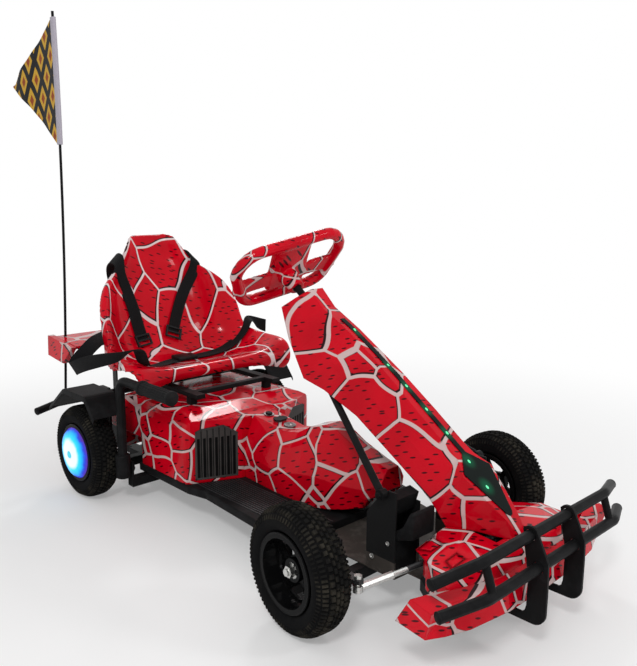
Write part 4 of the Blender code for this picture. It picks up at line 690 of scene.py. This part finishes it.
def wheel_place(node, turn):
    low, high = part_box(node)
    return Matrix.Translation((low + high) / 2) @ Matrix.Rotation(turn, 4, "Z")


ROAD_WHEEL_TURN = math.radians(-5.3)
WHEELS = (("front_tyre_right", "front_wheel_right", ROAD_WHEEL_TURN, FRONT_TYRE_WIDTH),
          ("front_tyre_left", "front_wheel_left", ROAD_WHEEL_TURN, FRONT_TYRE_WIDTH),
          ("rear_tyre_right", "rear_wheel_right", 0.0, REAR_TYRE_WIDTH),
          ("rear_tyre_left", "rear_wheel_left", 0.0, REAR_TYRE_WIDTH))
patterns = {width: (carcass(width), treads(width)) for width in (FRONT_TYRE_WIDTH, REAR_TYRE_WIDTH)}
for node, body, turn, width in WHEELS:
    place = wheel_place(node, turn)
    wall, blocks = (copied(piece, place) for piece in patterns[width])
    wall = finished(node.replace("tyre", "tyre_wall"), [wall], body, carcass_rubber)
    blocks = finished(node.replace("tyre", "tyre_tread"), [blocks], body, tread_rubber, smooth=False)
    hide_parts(node)
for pair in patterns.values():
    for piece in pair:
        bpy.data.objects.remove(piece, do_unlink=True)


# Rim edges
# The rolled edge of each pressed steel rim, which holds the bead of the tyre, and the small step
# pressed into the rim inside it.
EDGE_RADIUS = 0.0786
EDGE_ROUND = 0.0024
EDGE_INSET = 0.0048
STEP_RADIUS = 0.0712
STEP_ROUND = 0.0012
STEP_SHARE = 0.78


def ring(radius, tube, x):
    bpy.ops.object.select_all(action="DESELECT")
    bpy.ops.mesh.primitive_torus_add(major_radius=radius, minor_radius=tube, major_segments=96,
                                     minor_segments=10, location=(x, 0, 0),
                                     rotation=(0, math.pi / 2, 0))
    return settled()


gloss_black = dull_black("rim_enamel", (0.0040, 0.0040, 0.0043), (0.0065, 0.0065, 0.0065), 0.16,
                         300.0, 0.0002, 0.0016, 0.05)
dress(gloss_black, "front_rim_right", "front_rim_left")
for node, body, turn, width in WHEELS:
    half = width / 2 - EDGE_INSET
    edges = [ring(EDGE_RADIUS, EDGE_ROUND, side * half) for side in (-1, 1)]
    edges += [ring(STEP_RADIUS, STEP_ROUND, side * half * STEP_SHARE) for side in (1, -1)]
    made = joined(edges)
    made.data.transform(wheel_place(node, turn))
    made = finished(node.replace("tyre", "rim_edge"), [made], body, gloss_black)


# Seat
# One bucket blow-moulded with a rolled rim and a raised headrest, printed as the covers are.
# Its runner is bolted under the pan.
HEADREST_ROUND = 0.040
HEADREST_HALF = 0.092
HEADREST_BACK = 0.530
HEADREST_FOOT = 0.640
HEADREST_STRETCH = 1.20

# The seat's print lines are a lighter pink than the covers' lines: the print itself, with a painted
# sheen of the silver film laid into their colour.
seat_red = printed_red("printed_red_seat", 0.115, (0.13, 0.42, 0.05), (1.0, 1.0, 0.72), 0.0023,
                       (0.78, 0.64, 0.64))


def merged_copy(node):
    """Copy of a CAD node with its loose triangles merged."""
    made = bpy.data.objects.new(node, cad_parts[node].data.copy())
    scene.collection.objects.link(made)
    picked([made])
    bpy.ops.object.mode_set(mode="EDIT")
    bpy.ops.mesh.select_all(action="SELECT")
    bpy.ops.mesh.remove_doubles(threshold=0.00002)
    bpy.ops.mesh.tris_convert_to_quads(face_threshold=1.2, shape_threshold=1.2)
    bpy.ops.object.mode_set(mode="OBJECT")
    return made


def with_modifier(obj, kind, **settings):
    picked([obj])
    modifier = obj.modifiers.new("shape", kind)
    for key, value in settings.items():
        setattr(modifier, key, value)
    bpy.ops.object.modifier_apply(modifier=modifier.name)
    return obj


bucket = with_modifier(merged_copy("seat_shell"), "SUBSURF", levels=2, render_levels=2)
top = max(v.co.z for v in bucket.data.vertices)
for vertex in bucket.data.vertices:
    half = HEADREST_HALF - max(0.0, vertex.co.y - HEADREST_BACK)
    out = Vector((abs(vertex.co.x) - half + HEADREST_ROUND, vertex.co.z - top + HEADREST_ROUND))
    if out.x > 0 and out.y > 0 and out.length > HEADREST_ROUND:
        share = min(1.0, out.y / (0.6 * HEADREST_ROUND))
        out = out.lerp(out.normalized() * HEADREST_ROUND, share)
        vertex.co.x = math.copysign(out.x + half - HEADREST_ROUND, vertex.co.x)
        vertex.co.z = out.y + top - HEADREST_ROUND
    vertex.co.z += max(0.0, vertex.co.z - HEADREST_FOOT) * (HEADREST_STRETCH - 1.0)
bucket = with_modifier(bucket, "REMESH", mode="VOXEL", voxel_size=0.0038)
bucket = with_modifier(bucket, "SMOOTH", factor=0.5, iterations=6)
bucket = finished("seat_bucket", [bucket], "seat", seat_red)
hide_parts("seat_shell")


# Harness
# Black 40 mm webbing: two shoulder straps from behind the back, each with a slide adjuster, and
# a lap strap on each side that comes over the rim and ends in the buckle. On the seat a route has
# x and z on the back or x, y and slant on the pan, off it a place and the way across the webbing.
WEB_WIDTH = 0.040
WEB_THICK = 0.0018
WEB_COLUMNS = (-0.5, -0.46, -0.2, 0.2, 0.46, 0.5)
STATION_STEP = 0.007
EASING_ROUNDS = 14
SEAT_Y = 0.1335
LIFT = 0.0036
OVER_SHOULDER = ((0.098, 0.452, 0.560), (0.110, 0.450, 0.600), (0.120, 0.432, 0.634),
                 (0.127, 0.395, 0.650), (0.131, 0.355, 0.641))
RIGHT_SHOULDER = ((-0.140, 0.606), (-0.122, 0.560), (-0.107, 0.505), (-0.098, 0.450),
                  (-0.092, 0.405))
LEFT_SHOULDER = ((0.130, 0.606), (0.100, 0.560), (0.070, 0.520), (0.044, 0.470), (0.018, 0.415))
BACK_STRAP = ((-0.120, 0.566), (0.0, 0.563), (0.120, 0.566))
BACK_STRAP_Y = 0.4522 + SEAT_Y
BELT_Y = 0.226 + SEAT_Y
RIGHT_LAP_ON_PAN = ((-0.012, BELT_Y, 0.0), (-0.060, 0.350, -0.45), (-0.105, 0.328, -0.45),
                    (-0.150, 0.292, -0.45), (-0.190, 0.252, -0.45), (-0.222, 0.220, -0.45))
RIGHT_LAP_OUTSIDE = (
    ((-0.246, 0.202, 0.441), (-0.35, 0.90, 0.0)), ((-0.268, 0.198, 0.438), (-0.05, 0.90, -0.35)),
    ((-0.292, 0.212, 0.424), (0.15, 0.60, -0.70)), ((-0.318, 0.262, 0.411), (0.20, 0.25, -0.85)),
    ((-0.334, 0.330, 0.391), (0.10, -0.05, -0.98)), ((-0.338, 0.378, 0.374), (0.30, -0.30, -0.85)),
    ((-0.332, 0.414, 0.361), (0.30, -0.45, -0.78)), ((-0.322, 0.398, 0.388), (0.40, -0.55, -0.66)),
    ((-0.306, 0.384, 0.410), (0.48, -0.60, -0.60)), ((-0.268, 0.398, 0.432), (0.48, -0.60, -0.60)),
    ((-0.205, 0.446, 0.434), (0.48, -0.60, -0.60)))
LEFT_LAP_ON_PAN = ((0.012, BELT_Y, 0.0), (0.060, BELT_Y, 0.0), (0.110, 0.360, 0.0),
                   (0.160, 0.360, 0.0), (0.200, 0.360, 0.0), (0.232, 0.360, 0.0))
LEFT_LAP_OUTSIDE = (
    ((0.250, 0.366, 0.447), (0.0, 1.0, 0.1)), ((0.268, 0.372, 0.438), (0.0, 0.8, 0.6)),
    ((0.284, 0.366, 0.426), (0.1, 0.3, 0.95)), ((0.294, 0.352, 0.421), (0.13, 0.1, 0.98)),
    ((0.299, 0.338, 0.419), (0.13, 0.1, 0.98)))

webbing, tree, shader = new_finish("black_webbing", (0.010, 0.010, 0.011), Roughness=0.86,
                                   Specular_IOR_Level=0.08, Sheen_Weight=0.04,
                                   Sheen_Roughness=0.4)
flat = add(tree, "UVMap")
slanted = add(tree, "Mapping", {"Vector": flat, "Rotation": (0.0, 0.0, 0.6)})
twill, chevron = (add(tree, "TexWave", {"Vector": laid, "Scale": scale, "Distortion": 0.0},
                      wave_type="BANDS", bands_direction=way).outputs["Fac"]
                  for laid, scale, way in ((slanted, 150.0, "X"), (flat, 110.0, "Y")))
weave = maths(tree, "MULTIPLY", twill, chevron)
bump = add(tree, "Bump", {"Height": weave, "Strength": 0.7, "Distance": 0.0006})
# The weave's colour follows its bump: the raised threads are painted lighter and the hollows between
# them darker, a painted shade.
colour = blend_colours(tree, (0.006, 0.006, 0.0065), (0.020, 0.020, 0.021), weave)
feed(tree, shader, {"Normal": bump, "Base Color": colour})

seat_tree = BVHTree.FromPolygons([v.co for v in bucket.data.vertices],
                                 [tuple(p.vertices) for p in bucket.data.polygons])


def over_seat(spot):
    """Distance of a point from the seat's skin, and the way out of it."""
    near, normal, _, distance = seat_tree.find_nearest(spot)
    outside = (spot - near).dot(normal) > 0.0
    return (distance if outside else -distance), normal


def spread(points, spacing):
    """Even stations on a smooth curve through (point, direction across) pairs."""
    points = [(Vector(p), Vector(a).normalized()) for p, a in points]
    made = []
    for i in range(len(points) - 1):
        p0, p1 = points[max(i - 1, 0)][0], points[i][0]
        p2, p3 = points[i + 1][0], points[min(i + 2, len(points) - 1)][0]
        count = max(1, round((p2 - p1).length / spacing))
        for k in range(count):
            t = k / count
            place = 0.5 * ((2 * p1) + (p2 - p0) * t + (2 * p0 - 5 * p1 + 4 * p2 - p3) * t * t
                           + (3 * p1 - 3 * p2 + p3 - p0) * t ** 3)
            made.append((place, points[i][1].lerp(points[i + 1][1], t).normalized()))
    return made + [points[-1]]


def skin(name, rows):
    """Surface through rows of points."""
    count = len(rows[0])
    faces = [(r * count + c, r * count + c + 1, (r + 1) * count + c + 1, (r + 1) * count + c)
             for r in range(len(rows) - 1) for c in range(count - 1)]
    mesh = bpy.data.meshes.new(name)
    mesh.from_pydata([p for row in rows for p in row], [], faces)
    made = bpy.data.objects.new(name, mesh)
    scene.collection.objects.link(made)
    return made


def strap(name, points, eased=True):
    """Webbing along a route, laid on the seat where it meets it; its length is in its UV map."""
    rows = [[place + side * WEB_WIDTH * share for share in WEB_COLUMNS]
            for place, side in spread(points, STATION_STEP)]
    for _ in range(EASING_ROUNDS if eased else 0):
        for row in rows:
            for j, spot in enumerate(row):
                height, out = over_seat(spot)
                if height < LIFT:
                    row[j] = spot + out * (LIFT - height) * 0.7
        for i in range(1, len(rows) - 1):
            for j in range(len(WEB_COLUMNS)):
                mean = (rows[i - 1][j] + rows[i + 1][j]) / 2
                rows[i][j] = rows[i][j].lerp(mean, 0.25)
    lengths = [0.0]
    for above, below in zip(rows, rows[1:]):
        lengths.append(lengths[-1] + (below[2] - above[2]).length)
    made = skin(name, rows)
    layer = made.data.uv_layers.new(name="webbing")
    for loop in made.data.loops:
        row, column = divmod(loop.vertex_index, len(WEB_COLUMNS))
        layer.data[loop.index].uv = (WEB_COLUMNS[column] * WEB_WIDTH, lengths[row])
    return with_modifier(made, "SOLIDIFY", thickness=WEB_THICK, offset=0.0)


def onto_seat(x, z):
    """Where a level line from the front meets the seat's back."""
    hit = seat_tree.ray_cast(Vector((x, -0.15, z)), Vector((0, 1, 0)))[0]
    return hit - Vector((0, LIFT, 0))


def onto_pan(x, y):
    hit = seat_tree.ray_cast(Vector((x, y, 0.60)), Vector((0, 0, -1)))[0]
    return hit + Vector((0, 0, LIFT))


straps = []
ends = []
for side, name, route in ((-1, "right", RIGHT_SHOULDER), (1, "left", LEFT_SHOULDER)):
    points = [((side * x, y + SEAT_Y, z), (0.72, 0.0, -0.69 * side)) for x, y, z in OVER_SHOULDER]
    for (x, z), (next_x, next_z) in zip(route, route[1:] + (route[-1],)):
        if z > next_z:
            slant = Vector((z - next_z, 0.0, next_x - x))
        points.append((onto_seat(x, z), slant))
    straps.append(strap("shoulder_strap_" + name, points))
    ends.append((points[-1][0], slant.normalized()))
straps.append(strap("back_strap", [((x, BACK_STRAP_Y, z), (0, 0, 1)) for x, z in BACK_STRAP],
                    eased=False))
for piece in straps:
    finished(piece.name, [piece], "seat", webbing)
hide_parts("shoulder_harness")
for name, on_pan, outside in (("right", RIGHT_LAP_ON_PAN, RIGHT_LAP_OUTSIDE),
                              ("left", LEFT_LAP_ON_PAN, LEFT_LAP_OUTSIDE)):
    points = [(onto_pan(x, y), (slant, 1, 0)) for x, y, slant in on_pan] + list(outside)
    lap = finished("lap_strap_" + name, [strap("lap_strap_" + name, points)], "seat", webbing)
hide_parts("lap_belt")


# Slide adjusters and buckle
# Moulded nylon: a frame with a middle bar that the webbing threads through, and a squeeze
# buckle where the lap straps meet.
NYLON_LIFT = 0.0090

nylon = dull_black("buckle_nylon", (0.009, 0.009, 0.0095), (0.014, 0.014, 0.014), 0.36, 400.0,
                   0.0002, 0.0010, 0.12)


def rounded_bar(low, high, width=0.0012):
    return with_modifier(bar(low, high), "BEVEL", width=width, segments=2)


def laid_on_seat(obj, spot, side):
    """Turn a piece made flat in XY onto the seat near a spot."""
    near, normal, _, _ = seat_tree.find_nearest(spot)
    level_side = (side - normal * side.dot(normal)).normalized()
    turn = Matrix((level_side, normal.cross(level_side), normal)).transposed().to_4x4()
    obj.data.transform(Matrix.Translation(near + normal * NYLON_LIFT) @ turn)
    return obj


for (place, side), name in zip(ends, ("right", "left")):
    bars = [rounded_bar((-0.025, y - 0.0028, -0.0022), (0.025, y + 0.0028, 0.0032))
            for y in (-0.0150, 0.0, 0.0150)]
    bars += [rounded_bar((x - 0.0030, -0.0180, -0.0026), (x + 0.0030, 0.0180, 0.0036))
             for x in (-0.0235, 0.0235)]
    slide = laid_on_seat(joined(bars), place, side)
    slide = finished("slide_adjuster_" + name, [slide], "seat", nylon)
block = [rounded_bar((-0.034, -0.022, -0.0050), (0.012, 0.022, 0.0060), 0.0030),
         rounded_bar((0.013, -0.019, -0.0040), (0.036, 0.019, 0.0048), 0.0024),
         rounded_bar((-0.030, -0.0235, -0.0020), (-0.010, 0.0235, 0.0036), 0.0016)]
buckle = laid_on_seat(joined(block), Vector((0.0, BELT_Y, 0.36)), Vector((1, 0, 0)))
buckle = finished("lap_buckle", [buckle], "seat", nylon)


# Pedal housings
# One black plastic moulding round each pedal, with well rounded edges. It is screwed between the
# gussets of the foot plate.
for side in ("right", "left"):
    housing = with_modifier(merged_copy("pedal_housing_" + side), "BEVEL", width=0.0048, segments=3,
                            limit_method="ANGLE", angle_limit=math.radians(25.0))
    housing = finished("pedal_case_" + side, [housing], "frame", moulded_black)
    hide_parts("pedal_housing_" + side)


# Hub washers
# A plain zinc-plated washer under the nut of each front stub axle, stamped from steel sheet. It
# turns with the steering and not with the wheel.
KINGPIN = Vector((0.262, FRONT_AXLE, 0.130))
STUB_REACH = 0.0852
WASHER_RADIUS = 0.0168
WASHER_THICK = 0.0022

for side, name in ((-1, "right"), (1, "left")):
    axle = Matrix.Rotation(ROAD_WHEEL_TURN, 3, "Z") @ Vector((side, 0.0, 0.0))
    place = Vector((side * KINGPIN.x, KINGPIN.y, KINGPIN.z)) + axle * STUB_REACH
    bpy.ops.object.select_all(action="DESELECT")
    bpy.ops.mesh.primitive_cylinder_add(vertices=40, radius=WASHER_RADIUS, depth=WASHER_THICK,
                                        location=place, rotation=facing(axle))
    washer = with_modifier(settled(), "BEVEL", width=0.0006, segments=2, limit_method="ANGLE")
    washer = finished("hub_washer_" + name, [washer], "front_corner_" + name, plated("washer_" + name))


# Steering wheel
# Blow-moulded in one piece with its spokes and boss, printed red all over; it slides on the
# shaft's upper end.
wheel = merged_copy("steering_wheel")
wheel = with_modifier(wheel, "REMESH", mode="VOXEL", voxel_size=0.0022)
wheel = with_modifier(wheel, "SMOOTH", factor=0.5, iterations=6)
wheel = finished("steering_grip", [wheel], "steering",
                 printed_red("printed_red_wheel", 0.115, (0.21, 0.33, 0.11), half_line=0.0018))
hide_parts("steering_wheel")


# Lever grip
# Moulded rubber sleeve pushed over the lever, with long flutes and a round flange at each end.
GRIP_START = Vector((-0.285, 0.5116 + FRONT_AXLE, 0.356))
GRIP_OUTER = 0.0178
GRIP_INNER = 0.0162
FLUTES = 18

grip_rubber = dull_black("grip_rubber", (0.011, 0.011, 0.0115), (0.020, 0.020, 0.020), 0.62, 500.0,
                         0.0003, 0.0008, 0.06)


def fluted(start, length):
    """Fluted sleeve that runs back from a start along the grip."""
    bpy.ops.object.select_all(action="DESELECT")
    bpy.ops.mesh.primitive_cylinder_add(vertices=FLUTES * 4, radius=GRIP_OUTER, depth=length,
                                        location=(0, 0, 0))
    made = bpy.context.object
    for vertex in made.data.vertices:
        turn = math.atan2(vertex.co.y, vertex.co.x)
        ridge = 0.5 - 0.5 * math.cos(turn * FLUTES)
        size = GRIP_INNER + (GRIP_OUTER - GRIP_INNER) * ridge ** 0.6
        vertex.co.x, vertex.co.y = size * math.cos(turn), size * math.sin(turn)
    place = GRIP_START + Vector((0, start + length / 2, 0))
    made.data.transform(Matrix.Translation(place) @ Matrix.Rotation(math.pi / 2, 4, "X"))
    return made


def disc(along, radius, thickness, round_edge):
    """Round-edged disc across the grip."""
    bpy.ops.object.select_all(action="DESELECT")
    bpy.ops.mesh.primitive_cylinder_add(vertices=48, radius=radius, depth=thickness,
                                        location=GRIP_START + Vector((0, along, 0)),
                                        rotation=(math.pi / 2, 0, 0))
    return with_modifier(settled(), "BEVEL", width=round_edge, segments=3, limit_method="ANGLE")


pieces = [fluted(0.008, 0.124), disc(0.0050, 0.0190, 0.0090, 0.0030),
          disc(0.1370, 0.0199, 0.0100, 0.0025)]
grip = finished("fluted_grip", pieces, "lever", grip_rubber)
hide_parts("lever_grip")


# Tube ends
# Round plastic plugs in the open ends of the bumper tubes and of the rear bar, each with its
# place from the front axle and the way that it faces.
PLUG_RADIUS = 0.0113
PLUGS = (((0.3205, -0.3042, 0.2161), (0.33, -0.18)), ((0.3215, -0.3222, 0.1651), (0.39, -0.13)),
         ((0.3700, 1.1062, 0.2101), (-0.2, -0.14)))

plugs = []
for side in (-1, 1):
    for (x, y, z), (back, up) in PLUGS:
        bpy.ops.object.select_all(action="DESELECT")
        bpy.ops.mesh.primitive_uv_sphere_add(segments=24, ring_count=12, radius=PLUG_RADIUS,
                                             location=(side * x, y + FRONT_AXLE, z),
                                             rotation=facing((side, back, up)),
                                             scale=(1.0, 1.0, 0.35))
        plugs.append(bpy.context.object)
tube_plugs = finished("tube_plugs", plugs, "frame", moulded_black)


# Bolts
# Bright button-head bolts with a hexagon socket: two through each gusset beside the pedals and
# two through each hook plate, each with its place from the front axle, its radius and height.
BOLTS = ((0.1568, -0.028, 0.108, 0.0055, 0.0030), (0.1568, -0.070, 0.150, 0.0045, 0.0025),
         (0.0708, -0.250, 0.088, 0.0050, 0.0030), (0.0708, -0.300, 0.120, 0.0050, 0.0030))


def bolt(place, way, radius, height):
    """Domed screw head with a hexagon socket."""
    bpy.ops.object.select_all(action="DESELECT")
    bpy.ops.mesh.primitive_cylinder_add(vertices=24, radius=radius, depth=height,
                                        location=Vector(place) + way * height / 2,
                                        rotation=facing(way))
    head = bpy.context.object
    bpy.ops.object.mode_set(mode="EDIT")
    bpy.ops.mesh.select_mode(type="FACE")
    bpy.ops.mesh.select_all(action="DESELECT")
    bpy.ops.object.mode_set(mode="OBJECT")
    for face in head.data.polygons:
        face.select = face.normal.z > 0.9
    bpy.ops.object.mode_set(mode="EDIT")
    bpy.ops.mesh.inset(thickness=radius * 0.22, depth=height * 0.25)
    bpy.ops.mesh.inset(thickness=radius * 0.30, depth=0.0)
    bpy.ops.mesh.inset(thickness=radius * 0.02, depth=-height * 0.55)
    bpy.ops.object.mode_set(mode="OBJECT")
    return head


frame_bolts = [bolt((side * x, y + FRONT_AXLE, z), Vector((side, 0, 0)), radius, height)
               for side in (-1, 1) for x, y, z, radius, height in BOLTS]
bright_bolts = finished("frame_bolts", frame_bolts, "frame", plated("bright_bolts"))


# Pennant
# A three-cornered flag of light cloth, sewn into a pale sleeve that slips over the pole. It is
# black with a plain pattern of gold lozenges with rust centres, and hangs in soft folds.
POLE_Y = 0.5935
PENNANT_TIP = Vector((-0.232, POLE_Y + 0.320, 1.166))
POLE_NECK = Vector((-0.272, POLE_Y, 0.2553))
POLE_BEND = Vector((-0.2393, POLE_Y, 0.800))
POLE_TOP = Vector((-0.2474, POLE_Y, 1.335))
HOIST = (0.665, 0.985)
HOIST_ROWS = 30
FLY_COLUMNS = 28
FLY_SHARE = 0.968
SLEEVE_POINTS = 16
SLEEVE_SIZE = (0.0058, 0.0125)
SLEEVE_EDGE = POLE_Y + 0.0150
CLOTH_THICK = 0.0007
LOZENGES_ALONG = 13.0
LOZENGES_UP = 9.0
LOZENGE_SHIFT = 0.35
CLOTH_BLACK = (0.012, 0.012, 0.013)
GOLD = (0.62, 0.36, 0.035)
RUST = (0.30, 0.060, 0.012)
PALE_SLEEVE = (0.44, 0.41, 0.47)


def on_pole(t):
    return POLE_NECK * (1 - t) ** 2 + POLE_BEND * 2 * t * (1 - t) + POLE_TOP * t ** 2


rows = []
for i in range(HOIST_ROWS + 1):
    v = i / HOIST_ROWS
    centre = on_pole(HOIST[0] + (HOIST[1] - HOIST[0]) * v)
    hem = centre + Vector((0.0, SLEEVE_SIZE[1], 0.0))
    row = []
    for j in range(FLY_COLUMNS, 0, -1):
        u = j / FLY_COLUMNS
        wave = 0.012 * math.sin(math.pi * (1.7 * u + 0.3 * v)) * u
        wave += 0.0022 * math.sin(math.pi * (7.0 * u + 2.2 * v)) * u * (1.0 - 0.5 * u)
        row.append(hem.lerp(PENNANT_TIP, FLY_SHARE * u) + Vector((wave, 0.0, 0.0)))
    for j in range(SLEEVE_POINTS):
        turn = math.tau * j / SLEEVE_POINTS
        row.append(centre + Vector((SLEEVE_SIZE[0] * math.sin(turn),
                                    SLEEVE_SIZE[1] * math.cos(turn), 0.0)))
    row.append(hem + Vector((0.0006, 0.0, 0.0)))
    rows.append(row)
cloth = with_modifier(skin("pennant_cloth", rows), "SOLIDIFY", thickness=CLOTH_THICK, offset=0.0)

made, tree, shader = new_finish("printed_pennant_cloth", (0.015, 0.015, 0.015), Roughness=0.85,
                                Specular_IOR_Level=0.10, Sheen_Weight=0.1)
_, y, z = add(tree, "SeparateXYZ", {0: place_on(tree)}).outputs
slants = []
for rise in (LOZENGES_UP, -LOZENGES_UP):
    along = maths(tree, "MULTIPLY_ADD", y, LOZENGES_ALONG, LOZENGE_SHIFT)
    saw = maths(tree, "FRACT", maths(tree, "MULTIPLY_ADD", z, rise, along))
    slants.append(maths(tree, "ABSOLUTE", maths(tree, "SUBTRACT", saw, 0.5)))
inner = maths(tree, "MAXIMUM", *slants)
gold = blend_colours(tree, GOLD, CLOTH_BLACK, stepped(tree, inner, 0.33, 0.345))
rust = blend_colours(tree, RUST, gold, stepped(tree, inner, 0.15, 0.165))
whole = blend_colours(tree, PALE_SLEEVE, rust, beyond(tree, 1, SLEEVE_EDGE, soft=0.0006))
threads = add(tree, "TexWave", {"Vector": place_on(tree), "Scale": 260.0, "Distortion": 0.6},
              wave_type="BANDS", bands_direction="Z").outputs["Fac"]
bump = add(tree, "Bump", {"Height": threads, "Strength": 0.4, "Distance": 0.0003})
feed(tree, shader, {"Base Color": whole, "Normal": bump})
cloth = finished("pennant_cloth", [cloth], "frame", made)
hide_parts("pennant")
